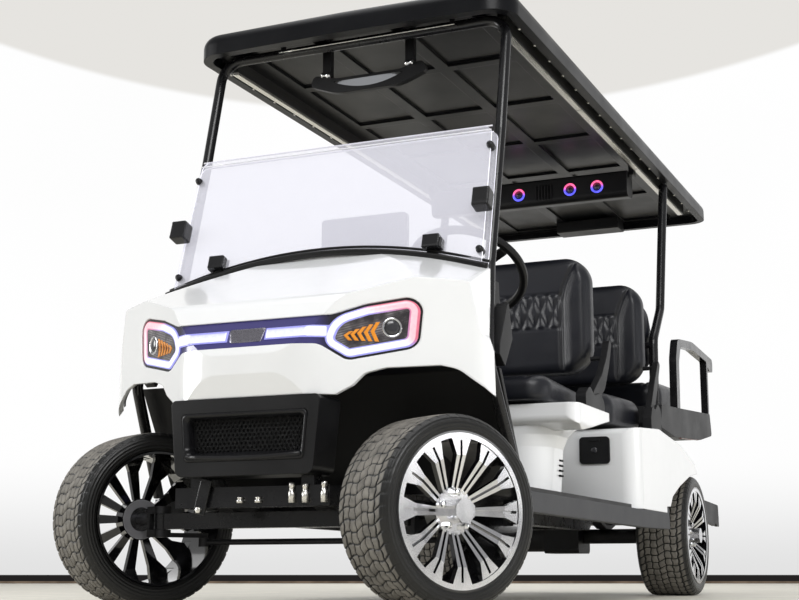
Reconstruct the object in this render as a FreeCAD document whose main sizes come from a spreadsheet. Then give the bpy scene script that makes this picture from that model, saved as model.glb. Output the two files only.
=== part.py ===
# Six-seat golf cart: front bench, middle bench and a rear-facing bench under one long roof.
# Millimetres. The front faces -Y, the vehicle's left is +X and the ground is z = 0.
# Sizes along Y are counted from the middle of the wheelbase, and every sub-part is placed
# by the same shift, which brings the middle of the vehicle's length to the origin.

import FreeCAD, Part
import math
import os
import Sketcher

Vector = FreeCAD.Vector
Rotation = FreeCAD.Rotation
Placement = FreeCAD.Placement

doc = FreeCAD.newDocument("GolfCart")

# Driving dimensions

CELLS = {
    # wheels and steering
    "wheelbase": 2470,
    "tyre_radius": 239.5,
    "tyre_half": 102,
    "rim_seat": 184,
    "rim_flange": 195,
    "kingpin_radius": 12,
    "steer_rest": -31,
    "arm_length": 130,
    "spokes": 12,
    # lengths of the body, from the axles
    "front_overhang": 230,
    "rear_overhang": 845,
    "screen_back": 232,
    # widths
    "body_half": 590,
    # heights
    "floor_top": 325,
    "floor_thick": 17,
    "rail_bottom": 256,
    "rail_top": 307.7,
    "rocker_bottom": 247,
    "rocker_top": 308,
    "hip_top": 602,
    "cowl_side": 908,
    "roof_bottom": 1722,
    "roof_top": 1800,
    # sections
    "wall": 12,
    "tube_radius": 16,
}


class Size:
    """A number that remembers the sheet expression it was worked out by."""

    def __init__(self, value, text):
        self.value = float(value)
        self.text = text

    def __add__(self, other):
        other = as_size(other)
        return Size(self.value + other.value, "(%s + %s)" % (self.text, other.text))

    def __sub__(self, other):
        other = as_size(other)
        return Size(self.value - other.value, "(%s - %s)" % (self.text, other.text))

    def __mul__(self, other):
        other = as_size(other)
        return Size(self.value * other.value, "(%s * %s)" % (self.text, other.text))

    def __truediv__(self, other):
        other = as_size(other)
        return Size(self.value / other.value, "(%s / %s)" % (self.text, other.text))

    def __neg__(self):
        return Size(-self.value, "(0 - %s)" % self.text)

    def __radd__(self, other):
        return as_size(other) + self

    def __rsub__(self, other):
        return as_size(other) - self

    def __rmul__(self, other):
        return as_size(other) * self


def as_size(number):
    if isinstance(number, Size):
        return number
    return Size(number, "(%.6f)" % number)


def cosine(angle):
    return Size(math.cos(math.radians(angle.value)), "cos(%s)" % angle.text)


def sine(angle):
    return Size(math.sin(math.radians(angle.value)), "sin(%s)" % angle.text)


class Sheet:
    """The driving dimensions as attributes, each bound to its cell."""

    def __init__(self, cells):
        self.page = doc.addObject("Spreadsheet::Sheet", "Sizes")
        for row, (name, value) in enumerate(cells.items(), start=1):
            self.page.set("A%d" % row, name)
            self.page.set("B%d" % row, str(value))
            self.page.setAlias("B%d" % row, name)
        doc.recompute()
        for name in cells:
            setattr(self, name, Size(self.page.get(name), "Sizes." + name))


s = Sheet(CELLS)

front_axle = -s.wheelbase / 2
rear_axle = s.wheelbase / 2
nodes = {}


def fore(y):
    """A place by its distance from the front axle, counted as on the nominal wheelbase."""
    return front_axle + (y + 1235)


def aft(y):
    """The same for a place that keeps its distance from the rear axle."""
    return rear_axle + (y - 1235)


# Places and widths that follow from the cells

body_half = s.body_half
track_width = body_half * 2 - 210
kingpin_out = track_width / 2 - 110
frame_half = body_half - 365
seat_half = body_half - 90
tub_half = body_half - 30
strut_half = body_half - 90
nose_y = front_axle - s.front_overhang
tail_y = rear_axle + s.rear_overhang
rear_front = aft(280)
cowl_tip = s.cowl_side + 146
hood_fall = 0.36
under_roof = s.roof_bottom + 29.7
kick = s.tyre_radius + 82


def front_reach():
    """The foremost point: the shoulder of the outer front tyre, as steered at rest."""
    hub = front_axle + (track_width / 2 - kingpin_out) * sine(s.steer_rest)
    return hub - s.tyre_radius * cosine(s.steer_rest) + (s.tyre_half - 20) * sine(s.steer_rest)


shift = (front_reach() + tail_y) / 2


# Ways to build a sub-part

def bind(item, path, size):
    """Set a property and tie it to the sheet."""
    size = as_size(size)
    item.setExpression(path, size.text)


def place(item, x=0, y=0, z=0, turn=None, axis=Vector(0, 0, 1)):
    """Place a sub-part: its own offset, and the shift that all of them share."""
    x, y, z = as_size(x), as_size(y), as_size(z)
    angle = as_size(turn if turn is not None else 0)
    item.Placement = Placement(Vector(x.value, y.value - shift.value, z.value), Rotation(axis, angle.value))
    bind(item, ".Placement.Base.x", x)
    bind(item, ".Placement.Base.y", y - shift)
    bind(item, ".Placement.Base.z", z)
    if turn is not None:
        bind(item, ".Placement.Rotation.Angle", angle)
    return item


def keep(item, label):
    """Name a finished sub-part as a node."""
    item.Label = label
    nodes[label] = item
    return item


def new_body(label):
    return doc.addObject("PartDesign::Body", label)


def plane(body, role):
    return [item for item in body.Origin.OriginFeatures if item.Role == role][0]


def new_sketch(body, role, offset=0):
    sketch = body.newObject("Sketcher::SketchObject", body.Name + "_sketch")
    sketch.AttachmentSupport = (plane(body, role), [""])
    sketch.MapMode = "FlatFace"
    offset = as_size(offset)
    sketch.AttachmentOffset = Placement(Vector(0, 0, offset.value), Rotation())
    bind(sketch, ".AttachmentOffset.Base.z", offset)
    return sketch


def pin_point(sketch, geometry, position, u, v):
    """Hold one sketch point at (u, v) from the sketch's origin."""
    for kind, size in (("DistanceX", as_size(u)), ("DistanceY", as_size(v))):
        index = sketch.addConstraint(Sketcher.Constraint(kind, -1, 1, geometry, position, size.value))
        if "Sizes" in size.text:
            bind(sketch, "Constraints[%d]" % index, size)


def corner_cut(before, corner, after, radius):
    """Where an arc of this radius leaves the two sides of a corner, and the arc's middle."""
    to_before = (before - corner).normalize()
    to_after = (after - corner).normalize()
    half = to_before.getAngle(to_after) / 2
    reach = radius / math.tan(half)
    bisector = (to_before + to_after).normalize()
    middle = corner + bisector * (radius / math.sin(half) - radius)
    return corner + to_before * reach, middle, corner + to_after * reach


def add_loop(sketch, points):
    """Closed outline of (u, v) or (u, v, corner radius) points, straight between corners."""
    count = len(points)
    spots = [Vector(as_size(p[0]).value, as_size(p[1]).value, 0) for p in points]
    radii = [as_size(p[2]).value if len(p) > 2 else 0 for p in points]
    starts, ends, middles = [], [], []
    for i in range(count):
        if radii[i] > 0:
            first, middle, last = corner_cut(spots[i - 1], spots[i], spots[(i + 1) % count], radii[i])
        else:
            first = middle = last = spots[i]
        ends.append(first)
        middles.append(middle)
        starts.append(last)
    lines = []
    for i in range(count):
        lines.append(sketch.addGeometry(Part.LineSegment(starts[i], ends[(i + 1) % count]), False))
    for i in range(count):
        into, out = lines[i - 1], lines[i]
        if radii[i] > 0:
            arc = sketch.addGeometry(Part.Arc(ends[i], middles[i], starts[i]), False)
            head, tail = (1, 2) if sketch.getPoint(arc, 1).distanceToPoint(ends[i]) < 0.01 else (2, 1)
            corner = sketch.addGeometry(Part.Point(spots[i]), True)
            sketch.addConstraint(Sketcher.Constraint("Tangent", into, 2, arc, head))
            sketch.addConstraint(Sketcher.Constraint("Tangent", arc, tail, out, 1))
            index = sketch.addConstraint(Sketcher.Constraint("Radius", arc, radii[i]))
            if "Sizes" in as_size(points[i][2]).text:
                bind(sketch, "Constraints[%d]" % index, points[i][2])
            sketch.addConstraint(Sketcher.Constraint("PointOnObject", corner, 1, into))
            sketch.addConstraint(Sketcher.Constraint("PointOnObject", corner, 1, out))
            pin_point(sketch, corner, 1, points[i][0], points[i][1])
        else:
            sketch.addConstraint(Sketcher.Constraint("Coincident", into, 2, out, 1))
            pin_point(sketch, out, 1, points[i][0], points[i][1])


def add_ring(sketch, u, v, radius):
    u, v, radius = as_size(u), as_size(v), as_size(radius)
    ring = sketch.addGeometry(Part.Circle(Vector(u.value, v.value, 0), Vector(0, 0, 1), radius.value), False)
    pin_point(sketch, ring, 3, u, v)
    index = sketch.addConstraint(Sketcher.Constraint("Radius", ring, radius.value))
    if "Sizes" in radius.text:
        bind(sketch, "Constraints[%d]" % index, radius)


def pad(body, role, loops, length, offset=0, both=True, rings=(), reverse=False):
    """Extrude an outline: both ways from its plane, or from its offset along the plane's normal."""
    sketch = new_sketch(body, role, offset)
    for loop in loops:
        add_loop(sketch, loop)
    for ring in rings:
        add_ring(sketch, *ring)
    feature = body.newObject("PartDesign::Pad", body.Name + "_pad")
    feature.Profile = sketch
    feature.Length = as_size(length).value
    bind(feature, "Length", length)
    feature.SideType = "Symmetric" if both else "One side"
    feature.Reversed = reverse
    body.Tip = feature
    return feature


def pocket(body, role, loops, length=None, offset=0, both=True, rings=(), reverse=False):
    """Cut an outline out of the body, and see that it took something away."""
    doc.recompute()
    before = body.Shape.Volume
    sketch = new_sketch(body, role, offset)
    for loop in loops:
        add_loop(sketch, loop)
    for ring in rings:
        add_ring(sketch, *ring)
    feature = body.newObject("PartDesign::Pocket", body.Name + "_pocket")
    feature.Profile = sketch
    if length is None:
        feature.Type = "ThroughAll"
    else:
        feature.Length = as_size(length).value
        bind(feature, "Length", length)
    feature.SideType = "Symmetric" if both else "One side"
    feature.Reversed = reverse
    body.Tip = feature
    doc.recompute()
    if not body.Shape.Volume < before - 1:
        raise RuntimeError("A pocket in %s cuts nothing" % body.Name)
    return feature


def loft(body, sections, subtract=False, ruled=True):
    """Loft through closed outlines that lie level at their own heights."""
    profiles = []
    for height, points in sections:
        sketch = new_sketch(body, "XY_Plane", height)
        add_loop(sketch, points)
        profiles.append(sketch)
    kind = "PartDesign::SubtractiveLoft" if subtract else "PartDesign::AdditiveLoft"
    feature = body.newObject(kind, body.Name + "_loft")
    feature.Profile = profiles[0]
    feature.Sections = profiles[1:]
    feature.Ruled = ruled
    body.Tip = feature
    return feature


def round_edges(body, radius, wanted):
    """Fillet every edge of the body so far that passes the test."""
    doc.recompute()
    base = body.Tip
    names = ["Edge%d" % (i + 1) for i, edge in enumerate(base.Shape.Edges) if wanted(edge)]
    if not names:
        raise RuntimeError("No edge of %s to round" % body.Name)
    feature = body.newObject("PartDesign::Fillet", body.Name + "_fillet")
    feature.Base = (base, names)
    feature.Radius = as_size(radius).value
    bind(feature, "Radius", radius)
    body.Tip = feature
    return feature


def mirror(body, role="YZ_Plane"):
    """Repeat everything on the other side of a plane."""
    feature = body.newObject("PartDesign::Mirrored", body.Name + "_mirror")
    feature.Originals = [item for item in body.Group
                         if item.isDerivedFrom("PartDesign::FeatureAddSub")]
    feature.MirrorPlane = (plane(body, role), [""])
    body.Tip = feature
    return feature


def revolve(body, role, points, axis, angle=360):
    """Turn an outline about one of the body's own axes."""
    sketch = new_sketch(body, role)
    add_loop(sketch, points)
    feature = body.newObject("PartDesign::Revolution", body.Name + "_revolution")
    feature.Profile = sketch
    feature.ReferenceAxis = (plane(body, axis), [""])
    feature.Angle = angle
    body.Tip = feature
    return feature


def spin(body, originals, count, axis):
    """Repeat features evenly round one of the body's own axes."""
    feature = body.newObject("PartDesign::PolarPattern", body.Name + "_pattern")
    feature.Originals = originals
    feature.Axis = (plane(body, axis), [""])
    feature.Angle = 360
    feature.Occurrences = int(as_size(count).value)
    bind(feature, "Occurrences", count)
    body.Tip = feature
    return feature


def prism(name, role, points, length, offset=0, both=True):
    """A plain extruded body to build other pieces from."""
    body = new_body(name)
    pad(body, role, [points], length, offset=offset, both=both)
    return body


def common(name, items):
    """What several solids share: a form drawn from the top, the side and the front."""
    item = doc.addObject("Part::MultiCommon", name)
    item.Shapes = items
    return item


def fused(name, items):
    item = doc.addObject("Part::MultiFuse", name)
    item.Shapes = items
    return item


def cut(name, base, tool):
    item = doc.addObject("Part::Cut", name)
    item.Base = base
    item.Tool = tool
    return item


def on_side(edge, half):
    """True for an edge that lies in one of the two side faces at x = half or -half."""
    return all(abs(abs(vertex.Point.x) - half) < 0.01 for vertex in edge.Vertexes)


def slab(label, points, width, side_radius=0):
    """A piece with one side profile, as wide as given, with its side edges rounded."""
    body = new_body(label)
    width = as_size(width)
    pad(body, "YZ_Plane", [points], width)
    if side_radius:
        half = width.value / 2
        round_edges(body, side_radius, lambda edge: on_side(edge, half))
    place(body)
    return keep(body, label)


def pair(label, points, inner, thick):
    """Two like plates, one on each side, between x = inner and inner + thick."""
    body = new_body(label)
    pad(body, "YZ_Plane", [points], thick, offset=inner, both=False)
    mirror(body)
    place(body)
    return keep(body, label)


def bent_path(points, radius):
    """Straight runs joined by tangent arcs, through or near the points given."""
    spots = [Vector(*[as_size(value).value for value in point]) for point in points]
    edges = []
    start = spots[0]
    for i in range(1, len(spots) - 1):
        first, middle, last = corner_cut(spots[i - 1], spots[i], spots[i + 1], radius)
        if start.distanceToPoint(first) > 0.01:
            edges.append(Part.LineSegment(start, first).toShape())
        edges.append(Part.Arc(first, middle, last).toShape())
        start = last
    edges.append(Part.LineSegment(start, spots[-1]).toShape())
    return Part.Wire(edges)


def tube_shape(points, bend, radius):
    """A round tube along a bent path that leaves one plane."""
    path = bent_path(points, bend)
    start = path.Edges[0].firstVertex(True).Point
    heading = path.Edges[0].tangentAt(path.Edges[0].FirstParameter)
    ring = Part.Wire([Part.Circle(start, heading, as_size(radius).value).toShape()])
    return path.makePipeShell([ring], True, False)


def mirrored_x(shape):
    return shape.mirror(Vector(0, 0, 0), Vector(1, 0, 0))


def feature_from(label, shape):
    """A sub-part whose bent form is set as a whole."""
    item = doc.addObject("Part::Feature", label)
    item.Shape = shape
    place(item)
    return keep(item, label)


# Wheels

def tyre(label, x, y, turn):
    body = new_body(label)
    crown = s.tyre_radius
    side = s.tyre_half
    revolve(body, "XY_Plane", [
        (side - 12, s.rim_seat),
        (side, s.rim_seat + 28),
        (side - 20, crown),
        (-side + 20, crown),
        (-side, s.rim_seat + 28),
        (-side + 12, s.rim_seat),
    ], "X_Axis")
    place(body, x, y, s.tyre_radius, turn)
    return keep(body, label)


def rim(label, x, y, turn):
    """Barrel, split spokes that dish in to the hub, hub and cap, with the outer face towards local +X."""
    body = new_body(label)
    seat = s.rim_seat - 0.3
    lip = s.rim_flange
    edge = s.tyre_half - 6.5
    back = -s.tyre_half + 6.5
    revolve(body, "XY_Plane", [
        (back, seat - 6),
        (edge + 5, seat - 6),
        (edge + 5, lip),
        (edge, lip),
        (edge, seat),
        (back, seat),
    ], "X_Axis")
    face = edge + 2.5
    kink = 138
    foot = 42
    spoke = pad(body, "YZ_Plane", [
        [(-9, foot), (9, foot), (14.5, kink), (31, seat - 4), (-31, seat - 4), (-14.5, kink)],
    ], 56, offset=face - 56, both=False)
    front = pocket(body, "XZ_Plane", [[(face - 34, foot - 2), (face + 1, kink), (face + 1, foot - 2)]], 36)
    rear = pocket(body, "XZ_Plane", [[(face - 57, foot - 2), (face - 50, foot - 2), (face - 16, kink),
                                      (face - 16, seat - 8), (face - 57, seat - 8)]], 66)
    groove = pocket(body, "XZ_Plane", [[(face + 1, foot + 12), (face - 42, foot + 12), (face - 11, kink),
                                        (face - 11, 172), (face + 1, 172)]], 7)
    spin(body, [spoke, front, rear, groove], s.spokes, "X_Axis")
    pad(body, "YZ_Plane", [], face - 30 - 22, offset=22, both=False, rings=[(0, 0, 58)])
    cap = []
    for k in range(8):
        angle = math.radians(45 * k + 22.5)
        cap.append((31 * math.cos(angle), 31 * math.sin(angle)))
    pad(body, "YZ_Plane", [cap], 46, offset=face - 31, both=False)
    pocket(body, "YZ_Plane", [], 58, offset=22, both=False, reverse=True, rings=[(0, 0, 17)])
    place(body, x, y, s.tyre_radius, turn)
    return keep(body, label)


def wheels():
    half = track_width / 2
    reach = half - kingpin_out
    swing_x = reach * cosine(s.steer_rest)
    swing_y = reach * sine(s.steer_rest)
    corners = {
        "front_left": (kingpin_out + swing_x, front_axle + swing_y, s.steer_rest),
        "front_right": (-kingpin_out - swing_x, front_axle - swing_y, s.steer_rest + 180),
        "rear_left": (half, rear_axle, as_size(0)),
        "rear_right": (-half, rear_axle, as_size(180)),
    }
    for corner, (x, y, turn) in corners.items():
        tyre("tyre_" + corner, x, y, turn)
        rim("rim_" + corner, x, y, turn)


# Axles and steering

def knuckle(label, side):
    """Yoke round the kingpin boss, stub axle outwards, steering arm back from the lower plate."""
    body = new_body(label)
    centre = s.tyre_radius
    for height in (-52, 11.5):
        pad(body, "XY_Plane", [[(-24, -24, 20), (44, -24), (44, 24), (-24, 24, 20)]],
            20, offset=centre + height, both=False)
    pad(body, "XY_Plane", [[(28, -24), (44, -24), (44, 24), (28, 24)]], 60, offset=centre - 40, both=False)
    pad(body, "XY_Plane", [], 60, offset=centre - 40, both=False, rings=[(0, 0, s.kingpin_radius)])
    stub = track_width / 2 - kingpin_out + 30
    pad(body, "YZ_Plane", [], stub, offset=44, both=False, rings=[(0, centre, 16.5)])
    reach = s.arm_length + 12
    pad(body, "XY_Plane", [[(-14, 20 * side), (14, 20 * side), (10, reach * side, 8), (-10, reach * side, 8)]],
        12, offset=centre - 52, both=False)
    turn = s.steer_rest if side > 0 else s.steer_rest + 180
    place(body, kingpin_out * side, front_axle, 0, turn)
    return keep(body, label)


def front_suspension():
    """Square beam between the kingpin bosses, hung from two leaf springs."""
    body = new_body("front_axle")
    centre = s.tyre_radius
    inner = kingpin_out - 20
    pins = [(kingpin_out, 0, 22), (-kingpin_out, 0, 22)]
    bores = [(kingpin_out, 0, s.kingpin_radius + 0.3), (-kingpin_out, 0, s.kingpin_radius + 0.3)]
    pad(body, "XZ_Plane", [[(-inner, centre - 31), (inner, centre - 31), (inner, centre + 11),
                            (-inner, centre + 11)]], 42)
    pad(body, "XY_Plane", [], 42, offset=centre - 31, both=False, rings=pins)
    pocket(body, "XY_Plane", [], 60, offset=centre - 40, both=False, reverse=True, rings=bores)
    place(body, 0, front_axle, 0)
    keep(body, "front_axle")

    body = new_body("front_springs")
    top = centre + 11.3
    pad(body, "YZ_Plane", [[
        (-119.7, top + 22), (-119.7, top + 34), (-90, top + 34), (-40, top + 16), (40, top + 16),
        (120, top + 34), (200, top + 34), (200, top + 22), (125, top + 22), (40, top), (-40, top), (-95, top + 22),
    ]], 42, offset=frame_half - 102.3, both=False)
    mirror(body)
    place(body, 0, front_axle, 0)
    keep(body, "front_springs")


def tie_rod():
    """Rod under the two steering arms, level with their tips at the rest angle."""
    body = new_body("tie_rod")
    tip = s.arm_length
    centre = s.tyre_radius - 64.5
    swing_x = tip * sine(s.steer_rest)
    back = tip * cosine(s.steer_rest)
    left = kingpin_out - swing_x
    right = -kingpin_out - swing_x
    pad(body, "YZ_Plane", [], left - right, offset=right, both=False, rings=[(back, centre, 8)])
    pad(body, "XY_Plane", [], 24, offset=centre - 12, both=False, rings=[(left, back, 14), (right, back, 14)])
    place(body, 0, front_axle, 0)
    return keep(body, "tie_rod")


def rear_running_gear():
    """Axle tube with the drive motor on its left side, two leaf springs above."""
    body = new_body("rear_axle")
    centre = s.tyre_radius
    half = track_width / 2 - 12
    pad(body, "YZ_Plane", [], half * 2, rings=[(0, centre, 30)])
    pad(body, "YZ_Plane", [[(-95, centre - 70, 20), (75, centre - 70, 20), (75, centre + 75, 20),
                            (-95, centre + 75, 20)]], 150, offset=-40, both=False)
    pad(body, "YZ_Plane", [], half * 2 + 174, rings=[(0, centre, 16)])
    pad(body, "YZ_Plane", [], 130, offset=-168, both=False, rings=[(-20, centre + 8, 70)])
    place(body, 0, rear_axle, 0)
    keep(body, "rear_axle")

    body = new_body("rear_springs")
    low = centre + 30.3
    top = kick - 0.3
    pad(body, "YZ_Plane", [[
        (-215, top - 12), (-215, top), (-180, top), (-40, low + 16), (40, low + 16),
        (180, top), (300, top), (300, top - 12), (185, top - 12), (40, low), (-40, low), (-185, top - 12),
    ]], 42, offset=frame_half - 51, both=False)
    mirror(body)
    place(body, 0, rear_axle, 0)
    keep(body, "rear_springs")


def steering():
    """Column tube, and the wheel whose shaft turns in it."""
    lift = Rotation(Vector(1, 0, 0), -35)
    seat_x = body_half - 300
    seat_y = fore(-600)
    body = new_body("steering_wheel")
    revolve(body, "XZ_Plane", [(165, 7), (172, 12), (183, 12), (189, 6), (189, -6), (183, -12), (172, -12), (165, -7)],
            "Z_Axis")
    pad(body, "XY_Plane", [], 34, offset=-36, both=False, rings=[(0, 0, 46)])
    arm = pad(body, "XY_Plane", [[(-17, 30), (17, 30), (13, 170), (-13, 170)]], 10, offset=-18, both=False)
    spin(body, [arm], 3, "Z_Axis")
    pad(body, "XY_Plane", [], 90, offset=-126, both=False, rings=[(0, 0, 14)])
    column = new_body("steering_column")
    pad(column, "XY_Plane", [], 579, offset=-629, both=False, rings=[(0, 0, 30)])
    pocket(column, "XY_Plane", [], 90, offset=-130, both=False, reverse=True, rings=[(0, 0, 14.5)])
    for item, label in ((body, "steering_wheel"), (column, "steering_column")):
        item.Placement = Placement(Vector(seat_x.value, (seat_y - shift).value, 1000), lift)
        bind(item, ".Placement.Base.x", seat_x)
        bind(item, ".Placement.Base.y", seat_y - shift)
        keep(item, label)


# Frame and floor

def chassis_frame():
    """Two box rails that kick up over the rear axle, joined by cross members."""
    body = new_body("chassis_frame")
    low, high = s.rail_bottom, s.rail_top
    start = nose_y + 60
    rail = [
        (start, low), (rear_axle - 330, low), (rear_axle - 230, kick), (rear_axle + 380, kick),
        (rear_axle + 380, kick + 50), (rear_axle - 245, kick + 50), (rear_axle - 345, high), (start, high),
    ]
    pad(body, "YZ_Plane", [rail], 60, offset=frame_half - 60, both=False)
    mirror(body)
    for y in (start, fore(-960), fore(-320), aft(200), aft(760)):
        pad(body, "YZ_Plane", [[(y, low), (y + 50, low), (y + 50, high), (y, high)]], frame_half * 2 - 40)
    for y in (rear_axle - 190, rear_axle + 330):
        pad(body, "YZ_Plane", [[(y, kick), (y + 50, kick), (y + 50, kick + 50), (y, kick + 50)]], frame_half * 2 - 40)
    hitch = rear_axle + 355
    pad(body, "YZ_Plane", [[(hitch - 30, kick), (hitch + 25, kick), (hitch + 25, kick + 50), (hitch - 30, kick + 50)]], 90)
    pocket(body, "XY_Plane", [], 60, offset=kick - 5, both=False, reverse=True, rings=[(0, hitch - 5, 8)])
    for side in (1, -1):
        x = frame_half * (0.72 * side)
        pad(body, "XY_Plane", [[(x - 18, start + 3), (x + 18, start + 3), (x + 18, start + 45), (x - 18, start + 45)]],
            332.6 - low, offset=low, both=False)
    place(body)
    return keep(body, "chassis_frame")


def floor_pan():
    top = s.floor_top
    thick = s.floor_thick
    start = fore(-885)
    slab("floor_pan", [
        (start, top - thick), (rear_front - 2, top - thick), (rear_front - 2, top), (start + 6, top),
        (start - 175, top + 300), (start - 193, top + 300),
    ], tub_half * 2 - 0.6)


def rockers():
    """Side sills with a step up behind the second footwell."""
    low, high = s.rocker_bottom, s.rocker_top
    pair("rocker_panels", [
        (fore(-945), low + 6), (aft(370), low), (aft(728), low + 4), (aft(716), high + 22), (aft(700), high + 22),
        (aft(694), high + 2), (aft(370), high + 2), (aft(365), high), (fore(-945), high),
    ], tub_half, body_half - tub_half)


def battery_pack():
    low = s.rail_top + 0.3
    slab("battery_pack", [(aft(400), low), (aft(660), low), (aft(660), 560), (aft(400), 560)], 500)


# Body panels

def crown_line(half, side_z, gap=0):
    """The cowl's crowned top seen from the front, drawn in by a gap, for a piece this wide."""
    rise = (cowl_tip - s.cowl_side) / (body_half - 72)
    edge = s.cowl_side + (body_half - 72 - half) * rise - gap if side_z is None else side_z
    top = cowl_tip - gap
    slope = rise.value
    radius = 0.85 * (body_half.value - 72) * math.sqrt(1 + slope ** 2) / slope
    return [(half, edge), (0, top, radius), (-half, edge)]


def cowl_form(name, inset, back, chin=False):
    """The front body's solid form as its top, side and front outlines share it."""
    nose = nose_y + inset
    half = body_half - 2 - inset
    inner = 150 - inset * 0.3
    shoulder = fore(-1180) + inset * 0.54
    plan = [(half, back), (half, shoulder, 110), (inner, nose, 240),
            (-inner, nose, 240), (-half, shoulder, 110), (-half, back)]
    side = [(nose + 18, 532.5), (nose, 590), (nose, 640), (nose + 22, 700), (nose + 68, 790 - inset / 2, 60),
            (fore(-1030), 980 - inset), (back, 1060 - inset), (back, 500), (nose + 18, 500)]
    foot = [(half, 500)]
    if chin:
        foot = [(238, 532.5), (275, 557), (300, 588, 30), (345, 603), (465, 613), (505, 604, 60), (561, 558), (half, 528)]
    wide = [(half - 2, 640), (half - 32, 700), (half - 48, 790)]
    front = foot + wide + crown_line(half - 70, None, inset)
    front += flipped(foot + wide)
    start = back + 60
    crown = crown_line(half - 70, None, inset - (start - fore(-1030)) * hood_fall)
    edge = crown[0][1] - 40
    hood = new_body(name + "_hood")
    lean = pad(hood, "XZ_Plane", [[(half, 400), (half, edge)] + crown + [(-half, edge), (-half, 400)]],
               700, offset=-start, both=False)
    lean.UseCustomVector = True
    lean.Direction = Vector(0, -1, -hood_fall)
    return common(name, [
        hood,
        prism(name + "_plan", "XY_Plane", plan, 580, offset=490, both=False),
        prism(name + "_side", "YZ_Plane", side, body_half * 2 + 20),
        prism(name + "_front", "XZ_Plane", front, 700, offset=-fore(-850), both=False),
    ])


LAMP = [(225, 735, 80), (301, 766, 80), (432, 797, 36), (420, 657, 40), (263, 619, 30), (201, 661, 40)]


def drawn_in(points, gap):
    """An outline moved inwards by a gap on every side, its corners rounded by that much less."""
    count = len(points)
    lines = []
    for i in range(count):
        here = Vector(points[i][0], points[i][1], 0)
        ahead = Vector(points[(i + 1) % count][0], points[(i + 1) % count][1], 0)
        along = (ahead - here).normalize()
        lines.append((here + Vector(along.y, -along.x, 0) * gap, along))
    result = []
    for i in range(count):
        (a, u), (b, v) = lines[i - 1], lines[i]
        reach = ((b.x - a.x) * v.y - (b.y - a.y) * v.x) / (u.x * v.y - u.y * v.x)
        corner = a + u * reach
        radius = points[i][2] - gap if len(points[i]) > 2 else 0
        result.append((corner.x, corner.y, radius) if radius > 1 else (corner.x, corner.y))
    return result


def flipped(points):
    return [(-p[0],) + tuple(p[1:]) for p in reversed(points)]


def lamp_prism(name, loops):
    """Outlines seen from the front, run through the nose and both cheeks."""
    body = new_body(name)
    pad(body, "XZ_Plane", loops, 300, offset=-fore(-1230), both=False)
    return body


def front_cowl():
    """Hollow front body, open below and behind, cut for the lamps, with the gaps for the hoop's legs."""
    back = s.screen_back + front_axle + 19
    outer = cowl_form("cowl_outer", 0, back, chin=True)
    inner = cowl_form("cowl_inner", 12, back + 60)
    panel = LAMP + flipped(LAMP)
    leg = [(fore(-1160), 500), (fore(-1165), 655), (fore(-1075), 808), (fore(-985), 972), (fore(-975), 972),
           (fore(-975), 500)]
    left = prism("leg_gap_left", "YZ_Plane", leg, 140, offset=body_half - 110, both=False)
    right = prism("leg_gap_right", "YZ_Plane", leg, 140, offset=-body_half - 30, both=False)
    cuts = fused("cowl_cuts", [inner, lamp_prism("lamp_opening", [panel]), left, right])
    cowl = cut("front_cowl", outer, cuts)
    place(cowl)
    keep(cowl, "front_cowl")

    panel = drawn_in(LAMP, 0.3) + flipped(drawn_in(LAMP, 0.3))
    deep = cut("panel_skin", cowl_form("panel_outer", 5, back), cowl_form("panel_inner", 13, back + 60))
    item = common("lamp_panel", [deep, lamp_prism("panel_outline", [panel])])
    place(item)
    keep(item, "lamp_panel")

    skin = cut("light_skin", cowl_form("light_outer", 1, back), cowl_form("light_inner", 4.7, back + 60))
    outer_ring = drawn_in(LAMP, 7)
    inner_ring = drawn_in(LAMP, 29)
    bar = [(56, 678), (56, 709), (226, 709), (226, 678)]
    pieces = []
    for name, ring, hole, strip in (("left", outer_ring, inner_ring, bar),
                                    ("right", flipped(outer_ring), flipped(inner_ring), flipped(bar))):
        pieces.append(lamp_prism("light_ring_" + name, [ring, hole]))
        pieces.append(lamp_prism("light_bar_" + name, [strip]))
    item = common("light_band", [skin, fused("light_outline", pieces)])
    place(item)
    keep(item, "light_band")

    lens = drawn_in(LAMP, 29.4)
    item = common("headlamps", [skin, fused("lens_outline", [lamp_prism("lens_left", [lens]),
                                                             lamp_prism("lens_right", [flipped(lens)])])])
    place(item)
    return keep(item, "headlamps")


def front_liner():
    """Black inner skin of the cheeks, over the front wheels."""
    back = fore(-1165)
    outer = cowl_form("liner_outer", 13.4, back + 5)
    inner = cowl_form("liner_inner", 17.5, back + 60)
    zone = new_body("liner_zone")
    outline = [(285, 590), (345, 606), (465, 616), (508, 607), (561, 562), (600, 532), (600, 720), (285, 720)]
    pad(zone, "XZ_Plane", [outline], 500, offset=-fore(-1165), both=False)
    mirror(zone)
    item = common("front_liner", [cut("liner_skin", outer, inner), zone])
    place(item)
    return keep(item, "front_liner")


def front_bumper():
    """Moulded bumper with a recessed plate seat and side returns."""
    body = new_body("front_bumper")
    wide = frame_half - 7
    low = frame_half - 26
    start = -fore(-1330)
    pad(body, "XZ_Plane", [[(-wide, 532, 14), (wide, 532, 14), (low, 333, 22), (-low, 333, 22)]],
        120, offset=start, both=False)
    pocket(body, "XZ_Plane", [[(-wide + 33, 495, 10), (wide - 33, 495, 10), (low - 26, 371, 10),
                               (-low + 26, 371, 10)]], 30, offset=start + 120, both=False)
    place(body)
    return keep(body, "front_bumper")


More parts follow.
